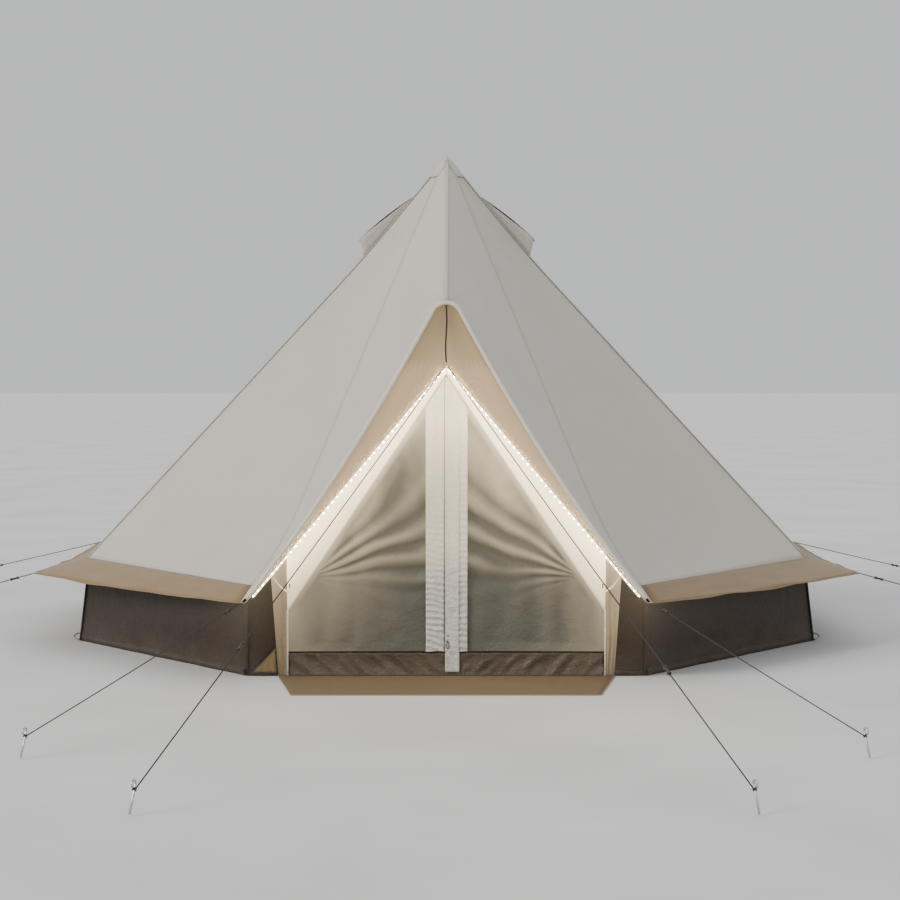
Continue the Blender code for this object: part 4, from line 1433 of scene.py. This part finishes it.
            points = [ends[0].lerp(ends[1], 0.14 + 0.72 * k / 12) for k in range(13)]
            net.append([side(point - Vector((0.012, 0.0, 0.012))) for point in points])
        mesh = cloth_from_grid(f"vent_net_{end}", [net], NET, 0.0010, outward=upwards)
        hang(mesh, "tent",
             [f"vent_mesh_{end}"])


# ---------------------------------------------------------------- walls and floor


@dataclass
class Walls:
    """The dark side walls, the port's flap, the groundsheet and the mat."""

    rows: int = 24
    columns: int = 22
    billow: float = 0.014
    mat_back: tuple[float, float] = (0.80, -1.985)
    mat_front: tuple[float, float] = (0.693, -2.504)

    def _wall_point(self, low: Vector, high: Vector, across: float, up: float) -> Vector:
        """Find a point on a wall panel.

        Args:
            low: The point under it on the wall's foot.
            high: The point over it on the wall's head.
            across: 0 at one corner and 1 at the other.
            up: 0 at the foot and 1 at the head.

        Returns:
            The point on the billowing cloth.
        """
        place = low.lerp(high, up)
        outward = Vector((place.x, place.y, 0.0)).normalized()
        edge = math.sin(math.pi * across)
        bulge = self.billow * edge * math.sin(math.pi * up)
        turn = math.atan2(place.x, -place.y)
        fold = ripple(Vector((turn * 11.0, up * 1.4, 0.0)), 1.0, 21.0)
        crease = ripple(Vector((turn * 20.0 + up * 4.0, up * 5.0, 0.0)), 1.0, 33.0)
        ease = edge**0.5 * math.sin(math.pi * min(1.0, up + 0.12) ** 0.7)
        return place + outward * (bulge + ease * (0.010 * fold + 0.004 * crease))

    def _half(self, side: Callable[[Vector], Vector]) -> list[Grid]:
        """Return the grids of one half of the wall, from the pale panel to the back."""
        azimuths = (SHAPE.front_hip, *SHAPE.corners)
        feet = [Vector(SHAPE.panel_foot), *(SHAPE.base(a) for a in azimuths)]
        heads = [SHAPE.wall_line(SHAPE.panel_split), *(SHAPE.wall_head(a) for a in azimuths)]
        for row in (feet, heads):
            row.append(Vector((0.0, row[-1].y, row[-1].z)))
        grids = []
        for k in range(len(feet) - 1):
            columns = 6 if k == 0 else self.columns
            grid = []
            for row in range(self.rows + 1):
                up = 1.0 - row / self.rows
                points = []
                for step in range(columns + 1):
                    share = step / columns
                    low, high = feet[k].lerp(feet[k + 1], share), heads[k].lerp(heads[k + 1], share)
                    across = share / 2 if k == len(feet) - 2 else share
                    points.append(side(self._wall_point(low, high, across, up)))
                grid.append(points)
            grids.append(grid)
        return grids

    def build(self) -> None:
        """Make the walls, the flap, the groundsheet and the mat."""
        for side, end in ((Vector, "right"), (mirrored, "left")):
            grids = self._half(side)
            wall = cloth_from_grid(
                f"wall_cloth_{end}", grids, WALL, 0.0014, outward=away_from_pole
            )
            hang(wall, "tent",
                 [f"side_wall_{end}"])
            self._trims(grids, end)
        self._port()
        self._ground()
        LOG.info("walls: two cloths, hems, pegging loops, flap, groundsheet and mat")

    def _trims(self, grids: Sequence[Grid], end: str) -> None:
        """Make a wall's corner seams, its foot hem and its pegging loops.

        Args:
            grids: The wall's grids.
            end: The side's name.
        """
        lift = 0.0022
        foot, rows = [], []
        for grid in grids:
            foot += [p + away_from_pole(p).normalized() * lift for p in grid[-2]]
            rows.append([p + away_from_pole(p).normalized() * lift for p in grid[-3]])
            rows.append([p + away_from_pole(p).normalized() * lift for p in grid[1]])
        strips = []
        up = Vector((0.0, 0.0, 1.0))
        hem = ribbon(f"hem_{end}", foot, lambda i, p: up, 0.034, WALL)
        strips.append(hem)
        for grid in grids[1:4]:
            seam = [row[0] + away_from_pole(row[0]).normalized() * lift for row in grid]
            sideways = Vector((seam[0].y, -seam[0].x, 0.0)).normalized()
            strips.append(ribbon("corner", seam, lambda i, p, s=sideways: s, 0.026, WALL))
            for shift in (-0.009, 0.009):
                rows.append([p + sideways * shift + Vector((0, 0, 0)) for p in seam])
        trims = join(f"wall_trims_{end}", strips)
        carry(trims, "tent")
        stitches = beads(f"wall_stitches_{end}", rows, Item.STITCH, 0.013, THREAD)
        carry(stitches, "tent")
        loops = []
        for grid in grids[1:]:
            corner = grid[-1][0]
            outward = Vector((corner.x, corner.y, 0.0)).normalized()
            path = []
            for step in range(13):
                turn = math.pi * step / 12
                reach = outward * 0.030 * math.sin(turn)
                height = Vector((0, 0, 0.006 + 0.034 * (1 - math.cos(turn)) / 2))
                path.append(corner + reach + height)
            sideways = Vector((outward.y, -outward.x, 0.0))
            loops.append(ribbon("loop", path, lambda i, p, s=sideways: s, 0.022, WEB, 0.0016))
        pegging = join(f"pegging_loops_{end}", loops)
        carry(pegging, "tent")

    def _port(self) -> None:
        """Make the three-cornered flap over the cable port, with a bound edge."""
        low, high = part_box("port_flap")
        top = Vector((low.x + 0.0, 0.0, high.z))
        corners = self._port_corners()
        grid = []
        for row in range(13):
            share = row / 12
            start, end = corners[1].lerp(corners[0], share), corners[1].lerp(corners[2], share)
            points = []
            for step in range(13):
                place = start.lerp(end, step / 12)
                wave = 0.004 * math.sin(9.0 * step / 12 + 4.0 * share) * share
                points.append(place + Vector((0.0, -0.002 - abs(wave), 0.0)))
            grid.append(points)
        grid[0] = [grid[0][0].copy() for _ in grid[0]]
        flap = cloth_from_grid("port_cloth", [grid], BAND, 0.0014, outward=towards_door)
        hang(flap, "port_cover",
             ["port_flap"])
        rim = [row[0] for row in grid[1:]] + grid[-1][1:] + [row[-1] for row in grid[-2:0:-1]]
        bound = tube("port_binding", rim, 0.0022, SILL, 8, closed=True)
        carry(bound, "port_cover")
        LOG.info("port flap from %.3f to %.3f m high", low.z, top.z)

    def _port_corners(self) -> Points:
        """Return the flap's corners on the wall's plane: near, top and far."""
        foot, tip = Vector(SHAPE.panel_foot), Vector(SHAPE.wall_tip)
        sideways = Vector((*SHAPE.front_base, 0.0)) - foot
        up = tip - foot
        found = []
        for across, height in ((0.008, 0.02), (0.008, 0.14), (0.118, 0.02)):
            rise = height / up.z
            share = (across - rise * up.x) / sideways.x
            found.append(mirrored(foot + up * rise + sideways * share + Vector((0, -0.004, 0))))
        return found

    def _ground(self) -> None:
        """Make the groundsheet and the mat before the doorway."""
        corners = [SHAPE.base(azimuth) for azimuth in SHAPE.hips()]
        corners = [corner - Vector((corner.x, corner.y, 0)).normalized() * 0.013 for corner in corners]
        corners.append(corners[0].copy())
        grid = []
        for row in range(15):
            share = row / 14
            ring = []
            for k in range(len(corners) - 1):
                for step in range(8):
                    edge = corners[k].lerp(corners[k + 1], step / 8)
                    place = edge * share
                    lift = 0.0022 + 0.0020 * max(0.0, ripple(place, 4.0, 9.0)) * (1 - share**6)
                    ring.append(Vector((place.x, place.y, lift)))
            ring.append(ring[0].copy())
            grid.append(ring)
        floor = cloth_from_grid("groundsheet_tarp", [grid], FLOOR, 0.0012, outward=upwards)
        hang(floor, "tent", ["groundsheet"])
        mat_grid = []
        for row in range(25):
            share = row / 24
            half = self.mat_back[0] + (self.mat_front[0] - self.mat_back[0]) * share
            depth = self.mat_back[1] + (self.mat_front[1] - self.mat_back[1]) * share
            points = []
            for step in range(49):
                across = step / 24 - 1.0
                place = Vector((half * across, depth, 0.0))
                wave = 0.0022 * (1.0 + ripple(place, 7.0, 4.0)) * min(1.0, 6 * (1 - abs(across)))
                place.z = 0.0026 + wave * min(1.0, share * 6, (1 - share) * 6)
                points.append(place)
            mat_grid.append(points)
        mat = cloth_from_grid("entry_mat_cloth", [mat_grid], MAT, 0.0020, outward=upwards)
        hang(mat, "tent", ["entry_mat"])
        rim = [row[0] for row in mat_grid] + mat_grid[-1][1:] + [r[-1] for r in mat_grid[-2::-1]]
        bound = tube("mat_binding", rim, 0.0028, BAND, 8)
        carry(bound, "tent")
        row = [Vector((p.x * 0.985, p.y * 0.997, p.z + 0.0008)) for p in rim]
        carry(beads("mat_stitches", [row], Item.STITCH, 0.012, THREAD), "tent")


# ---------------------------------------------------------------- front


@dataclass
class Front:
    """The hood, the pale wall, the doors, their strips, the sill and the lights."""

    trim_radius: float = 0.009
    split: float = -0.008
    strip_left: float = -0.097
    strip_centre: tuple[float, float] = (-0.006, 0.062)
    strip_right: float = 0.100
    leaf_bottom: float = 0.1165
    sill_height: float = 0.111
    led_pitch: float = 0.033
    cream_end: float = 0.80
    panel_bend: float = 0.42
    panel_rows: int = 48
    panel_steps: int = 16
    panel_folds: float = 15.0
    strip_rows: int = 240
    pucker_rate: float = 215.0

    def build(self) -> None:
        """Make everything at the front."""
        self._trim()
        self._gusset()
        self._wall()
        for side, end in ((-1, "left"), (1, "right")):
            self._leaf(side, end)
        self._strips()
        self._sill()
        for side, end in ((Vector, "right"), (mirrored, "left")):
            self._lights(side, end)
            self._tie(side, end)
        self._strap()
        LOG.info("front: hood, wall, two leaves, strips, zip, sill, lights and straps")

    def _trim(self) -> None:
        """Make the hood's rolled piping."""
        edge = SHAPE.hood_edge(0.0)
        edge = edge[: 18 + 48]
        line = [mirrored(point) for point in reversed(edge)] + edge[1:]
        trim = tube("hood_piping_roll", line, self.trim_radius, PIPING, 14)
        carry(trim, "tent", ["hood_trim"])
        inner = SHAPE.hood_edge(0.0115)[:62]
        row = [mirrored(p) for p in reversed(inner)] + inner[1:]
        row = [point + Vector((0.0, -0.0055, 0.0)) for point in row]
        carry(beads("hood_stitches", [row], Item.STITCH, 0.010, PALE_THREAD), "tent")

    def _gusset(self) -> None:
        """Make the brown cloth between the hood's edge and the front wall, as one slack sheet."""
        upper = SHAPE.hood_edge(-self.trim_radius * 0.7)
        lowest, span = upper[-1].z, upper[0].z - upper[-1].z
        wall_top, wall_tip = Vector(SHAPE.wall_top), Vector(SHAPE.wall_tip)
        grids = []
        for side in (Vector, mirrored):
            grid = []
            for point in upper:
                fall = (upper[0].z - point.z) / span
                height = wall_top.z - fall * (wall_top.z - lowest)
                share = (wall_top.z - height) / (wall_top.z - wall_tip.z)
                low = SHAPE.wall_line(share) + Vector((0.0, 0.0, 0.003))
                row = []
                for step in range(9):
                    across = step / 8
                    place = (point + Vector((0, 0.004, 0))).lerp(low, across)
                    edge = math.sin(math.pi * across)
                    fold = ripple(Vector((place.x * 1.5, fall * 6.0, across)), 1.0, 40.0)
                    place = place + Vector((0.0, edge * (0.016 + 0.007 * fold), 0.0))
                    row.append(side(place))
                grid.append(row)
            grids.append(grid)
        gusset = cloth_from_grid("hood_gusset_cloth", grids, GUSSET, 0.0012, outward=towards_door)
        hang(gusset, "tent",
             ["hood_gusset"])

    def _wall_row(self, share: float, side: Callable[[Vector], Vector]) -> Points:
        """Return one row of the pale wall, from its top edge to the doorway's edge.

        Args:
            share: 0 at the apex and 1 at the doorway's bend.
            side: Puts a right-hand point on the wanted side.

        Returns:
            The row's points.
        """
        kink = Vector((SHAPE.doorway_half, SHAPE.door_plane, SHAPE.doorway_kink))
        apex = Vector((0.0, SHAPE.door_plane, SHAPE.doorway_top))
        outer = SHAPE.wall_line(self.cream_end * share)
        inner = apex.lerp(kink, share)
        row = []
        for step in range(9):
            across = step / 8
            place = outer.lerp(inner, across)
            edge = math.sin(math.pi * across)
            fold = ripple(Vector((share * 9.0, across * 2.0, 0.0)), 1.0, 50.0)
            row.append(side(place + Vector((0.0, -0.003 * edge * abs(fold), 0.0))))
        return row

    def _wall(self) -> None:
        """Make the pale wall round the doorway and the piping along its inner edge."""
        grids = []
        for side in (Vector, mirrored):
            grids.append([self._wall_row(k / 64, side) for k in range(65)])
        wall = cloth_from_grid("front_wall_cloth", grids, CREAM, 0.0014, outward=towards_door)
        hang(wall, "tent", ["front_wall"])
        for side, end in ((Vector, "right"), (mirrored, "left")):
            self._side_panel(side, end)
        inner = [row[-1] + Vector((0.0, -0.002, 0.0)) for row in grids[0]]
        inner.append(Vector((SHAPE.doorway_half, SHAPE.door_plane - 0.002, 0.003)))
        line = [mirrored(p) for p in reversed(inner)] + inner[1:]
        zip_tape = tube("doorway_piping", line, 0.0045, STRIP, 10)
        carry(zip_tape, "tent")
        row = [point + Vector((math.copysign(0.011, point.x), -0.003, 0.004)) for point in line]
        carry(beads("doorway_stitches", [row], Item.STITCH, 0.010, PALE_THREAD), "tent")

    def _side_panel(self, side: Callable[[Vector], Vector], end: str) -> None:
        """Make the tan panel beside the doorway, which hangs in upright folds.

        Args:
            side: Puts a right-hand point on the wanted side.
            end: The side's name.
        """
        top_in, top_out = SHAPE.wall_line(self.cream_end), SHAPE.wall_line(SHAPE.panel_split)
        kink = Vector((SHAPE.doorway_half, SHAPE.door_plane, SHAPE.doorway_kink))
        foot = Vector((SHAPE.doorway_half, SHAPE.door_plane, 0.0))
        grid = []
        bend = self.panel_bend
        for row in range(self.panel_rows + 1):
            down = row / self.panel_rows
            outer = top_out.lerp(Vector(SHAPE.panel_foot), down)
            inner = top_in.lerp(kink, down / bend)
            if down > bend:
                inner = kink.lerp(foot, (down - bend) / (1 - bend))
            points = []
            for step in range(self.panel_steps + 1):
                across = step / self.panel_steps
                drift = 2.4 * ripple(Vector((down * 3, across, 0)), 1.0, 80.0)
                fold = math.sin(across * self.panel_folds + drift)
                ease = math.sin(math.pi * across) * (0.35 + 0.65 * math.sin(math.pi * down))
                depth = -0.004 * ease + 0.0075 * ease * fold
                points.append(side(outer.lerp(inner, across) + Vector((0.0, depth, 0.0))))
            grid.append(points)
        panel = cloth_from_grid(f"side_panel_{end}", [grid], SIDE_TAN, 0.0012, outward=towards_door)
        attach(panel, "tent")

    def _drape(self, x: float, z: float, side: int) -> float:
        """Find how far a door leaf's folds lie behind its plane.

        The folds spread from the doorway's bend, where the cloth is drawn up, to the middle.

        Args:
            x: The distance from the leaf's split, in metres.
            z: The height.
            side: -1 for the left leaf and 1 for the right one.

        Returns:
            The depth in metres, larger further in.
        """
        fan = Vector((SHAPE.doorway_half - 0.10, SHAPE.doorway_kink + 0.155))
        away = Vector((abs(x), z)) - fan
        reach = away.length
        turn = math.atan2(away.y, -away.x)
        fade = math.exp(-((turn - 0.32) / 0.42) ** 2) * min(1.0, reach / 0.14)
        folds = math.sin(turn * 27.0 + 1.2 * side + 3.6 * ripple(Vector((x, z, side)), 3.0, 6.0))
        sharp = folds * abs(folds) ** 0.4 * (0.75 + 0.55 * ripple(Vector((x, z, side)), 5.0, 21.0))
        hanging = math.sin(x * 34.0 + 3.0 * ripple(Vector((x, z * 0.4, side)), 4.0, 7.0) + side)
        low = max(0.0, 1.0 - (z - 0.11) / 0.34)
        broad = ripple(Vector((x * 1.5, z, side)), 2.6, 11.0)
        depth = 0.0185 * sharp * fade + 0.0040 * hanging * (0.30 + low) + 0.014 * broad
        creases = 0.0016 * ripple(Vector((x, z, side)), 22.0, 15.0)
        edge_x = min(1.0, (SHAPE.doorway_half - abs(x)) / 0.06, (abs(x) + 0.02) / 0.05)
        edge_z = min(1.0, (z - 0.11) / 0.05, max(0.0, SHAPE.leaf_top(x) - z) / 0.05)
        ease = max(0.0, min(edge_x, edge_z))
        behind = 0.001 if abs(x) < 0.12 else -0.006
        return max(behind, 0.010 * ease + (depth + creases) * ease)

    def _leaf(self, side: int, end: str) -> None:
        """Make one door leaf as a draped sheet.

        Args:
            side: -1 for the left leaf and 1 for the right one.
            end: The leaf's name.
        """
        inner = self.split + side * 0.0005
        outer = side * (SHAPE.doorway_half - 0.006)
        columns, rows = 96, 110
        grid = []
        for row in range(rows + 1):
            points = []
            for step in range(columns + 1):
                x = inner + (outer - inner) * step / columns
                top = SHAPE.leaf_top(x)
                z = top + (self.leaf_bottom - top) * row / rows
                points.append(Vector((x, SHAPE.door_plane + 0.001 + self._drape(x, z, side), z)))
            grid.append(points)
        leaf = cloth_from_grid(f"door_cloth_{end}", [grid], DOOR, 0.0009, outward=towards_door)
        hang(leaf, f"door_leaf_{end}",
             [f"door_{end}"])
        hem = [row[-1] + Vector((0, -0.0015, 0)) for row in grid]
        foot = [point + Vector((0, -0.0015, 0.004)) for point in grid[-1]]
        bound = tube(f"door_binding_{end}", grid[0][::4] + hem[1::4] + foot[::-4], 0.0022, DOOR, 6)
        carry(bound, f"door_leaf_{end}")

    def _strip(
        self, name: str, edges: tuple[float, float], bottom: float, depth: float, crumple: float
    ) -> tuple[bpy.types.Object, Grid]:
        """Make one upright strip on the doors.

        Args:
            name: The piece's name.
            edges: Its left and right edges.
            bottom: Its lower end.
            depth: How far it stands before the door's plane.
            crumple: How strongly it is crumpled, in metres.

        Returns:
            The strip and its grid.
        """
        grid = []
        for row in range(self.strip_rows + 1):
            points = []
            for step in range(11):
                x = edges[0] + (edges[1] - edges[0]) * step / 10
                top = SHAPE.leaf_top(x) - 0.008
                z = top + (bottom - top) * row / self.strip_rows
                slip = 3.2 * ripple(Vector((x * 1.5, z, 0)), 9.0, depth * 900.0)
                pucker = 0.30 + 0.30 * math.sin(z * self.pucker_rate + x * 34.0 + slip)
                pucker *= 0.30 + 0.9 * min(1.0, max(0.0, (1.15 - z) / 0.25))
                wave = ripple(Vector((x, z, 0)), 6.0, 60.0 + depth * 1000.0)
                y = SHAPE.door_plane - depth - crumple * (pucker + 0.5 * wave)
                points.append(Vector((x, y, z)))
            grid.append(points)
        return cloth_from_grid(name, [grid], STRIP, 0.0010, outward=towards_door), grid

    def _strips(self) -> None:
        """Make the three strips, their stitches, the zip's teeth and the pull's cord."""
        left, left_grid = self._strip("strip_cloth_left", (self.strip_left, -0.0095), 0.118, 0.003, 0.013)
        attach(left, "door_leaf_left")
        centre, grid = self._strip("strip_cloth_centre", self.strip_centre, 0.02, 0.0075, 0.002)
        hang(centre, "door_leaf_right",
             ["door_strip"])
        right, right_grid = self._strip("strip_cloth_right", (0.0625, self.strip_right), 0.118, 0.003, 0.009)
        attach(right, "door_leaf_right")
        before = Vector((0.0, -0.0012, 0.0))
        rows = [[row[k] + before for row in grid] for k in (1, 9)]
        rows += [[row[k] + before for row in right_grid] for k in (1, 9)]
        carry(beads("strip_stitches_right", rows, Item.STITCH, 0.010, THREAD),
              "door_leaf_right")
        rows = [[row[k] + before for row in left_grid] for k in (1, 5, 9)]
        carry(beads("strip_stitches_left", rows, Item.STITCH, 0.010, THREAD),
              "door_leaf_left")
        line = [Vector((-0.0068, SHAPE.door_plane - 0.006, 0.125 + 1.2 * k / 60)) for k in range(61)]
        carry(beads("zip_teeth", [line], Item.TOOTH, 0.004, BLACK_PLASTIC),
              "door_leaf_right")
        low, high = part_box("zip_pull")
        middle = (low + high) / 2
        path = [
            Vector((middle.x + 0.006 * math.sin(math.tau * k / 20), low.y - 0.003,
                    low.z + 0.004 - 0.017 * (1 - math.cos(math.tau * k / 20))))
            for k in range(20)
        ]
        loop = tube("zip_pull_loop", path, 0.0014, CORD, 8, closed=True)
        carry(loop, "zip_slider")

    def _sill(self) -> None:
        """Make the shiny band under the doors."""
        half = SHAPE.doorway_half - 0.006
        grid = []
        for row in range(17):
            z = self.sill_height * (1.0 - row / 16)
            points = []
            for step in range(141):
                x = -half + 2 * half * step / 140
                lean = math.copysign(0.7, x) * (self.sill_height - z)
                fold = ripple(Vector((x * 1.9 + lean * 2.2, z * 0.6, 0)), 12.0, 70.0)
                fine = ripple(Vector((x * 3.0 + lean * 3.0, z, 0)), 20.0, 75.0)
                ease = math.sin(math.pi * min(1.0, 0.12 + row / 16 * 0.8))
                y = SHAPE.door_plane + 0.001 + (0.011 * fold + 0.0045 * fine) * ease
                points.append(Vector((x, y, max(z, 0.002))))
            grid.append(points)
        sill = cloth_from_grid("sill_vinyl_band", [grid], SILL, 0.0014, outward=towards_door)
        hang(sill, "tent", ["door_sill"])
        lift = Vector((0.0, -0.0018, 0.0))
        rows = [[p + lift for p in grid[1]], [p + lift for p in grid[15]]]
        carry(beads("sill_stitches", rows, Item.STITCH, 0.012, THREAD), "tent")

    def _lights(self, side: Callable[[Vector], Vector], end: str) -> None:
        """Make one light strip: a soft clear tape with a row of small lights.

        Args:
            side: Puts a right-hand point on the wanted side.
            end: The strip's name.
        """
        along = Vector(SHAPE.wall_tip) - Vector(SHAPE.wall_top)
        down = Vector((along.z, 0.0, -along.x)).normalized()
        line = []
        for step in range(81):
            share = 0.022 + 0.948 * step / 80
            place = SHAPE.wall_line(share) + down * 0.006 + Vector((0.0, -0.003, 0.0))
            line.append(side(place + Vector((0.0, 0.0012 * math.sin(step * 0.9), 0.0))))
        across = side(Vector((-along.z, 0.0, along.x)))
        tape = ribbon(f"led_tape_{end}", line, lambda i, p: across, 0.010, LED_TAPE, 0.0024)
        carry(tape, "tent", [f"led_strip_{end}"])
        raised = [point + Vector((0.0, -0.0030, 0.0)) for point in line]
        lights = beads(f"led_domes_{end}", [raised], Item.LIGHT, self.led_pitch, DIODE)
        carry(lights, "tent")

    def _tie(self, side: Callable[[Vector], Vector], end: str) -> None:
        """Make the tie that holds a rolled leaf, beside the doorway's bend.

        Args:
            side: Puts a right-hand point on the wanted side.
            end: The side's name.
        """
        start, stop = SHAPE.wall_line(0.865), Vector((0.735, SHAPE.door_plane - 0.075, 0.445))
        path = []
        for step in range(17):
            share = step / 16
            sag = 0.012 * math.sin(math.pi * share)
            path.append(side(start.lerp(stop, share) + Vector((0.0, -0.008 - sag, -0.035 - sag))))
        start = Vector((0.790, SHAPE.door_plane - 0.085, 0.405))
        up = side(Vector((0.35, 0.0, 0.9)))
        strap = ribbon(f"door_tie_{end}", path, lambda i, p: up, 0.013, STRIP, 0.0012)
        carry(strap, "tent")
        toggle = [side(start + Vector((-0.055, -0.008, 0.026 + 0.020 * k / 4))) for k in range(5)]
        carry(tube(f"door_toggle_{end}", toggle, 0.0032, BLACK_PLASTIC, 10), "tent")

    def _strap(self) -> None:
        """Make the webbing strap from the hood's top to the ring."""
        low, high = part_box("peak_strap")
        top = Vector((0.0, low.y + 0.002, high.z))
        bottom = Vector((0.0, high.y - 0.001, low.z))
        line = []
        for step in range(25):
            share = step / 24
            bow = 0.004 * math.sin(math.pi * share)
            sway = 0.0028 * math.sin(math.tau * share)
            line.append(top.lerp(bottom, share) + Vector((sway, bow, 0.0)))
        across = Vector((1.0, 0.0, 0.0))
        strap = ribbon("peak_webbing", line, lambda i, p: across, 0.0075, WEB, 0.0018)
        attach(strap, "tent")
        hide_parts("peak_strap")


# ---------------------------------------------------------------- poles


@dataclass
class Poles:
    """The steel parts that the frame already shapes, with their finishes and fittings."""

    finishes: tuple[tuple[str, Solid], ...] = (
        ("pole_lower", POLE_STEEL),
        ("pole_upper", POLE_STEEL),
        ("a_frame_leg_left", POLE_STEEL),
        ("a_frame_leg_right", POLE_STEEL),
        ("a_frame_elbow", POLE_STEEL),
        ("line_ring", STEEL),
        ("pole_foot", BLACK_PLASTIC),
        ("zip_pull", BLACK_PLASTIC),
    )

    def build(self) -> None:
        """Dress the poles and add the sleeve over their joint and the finial's stop."""
        for node, finish in self.finishes:
            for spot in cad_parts[node].material_slots:
                spot.material = finish.build()
        collar = [Vector((0.0, 0.0, 1.285 + 0.03 * k / 6)) for k in range(7)]
        carry(tube("pole_collar", collar, 0.0185, BLACK_PLASTIC, 24), "tent")
        tip = [Vector((0.0, 0.0, 2.655 + 0.022 * k / 4)) for k in range(5)]
        carry(tube("pole_tip", tip, 0.018, BLACK_PLASTIC, 24), "tent")
        LOG.info("poles: %d nodes dressed, collar and tip added", len(self.finishes))


def main() -> None:
    """Build the studio and the tent."""
    logging.basicConfig(level=logging.INFO, format="%(message)s")
    Studio().build()
    GuyLines().build()
    Roof().build()
    Walls().build()
    Front().build()
    Poles().build()
    LOG.info("boxes written")


if __name__ == "__main__":
    main()
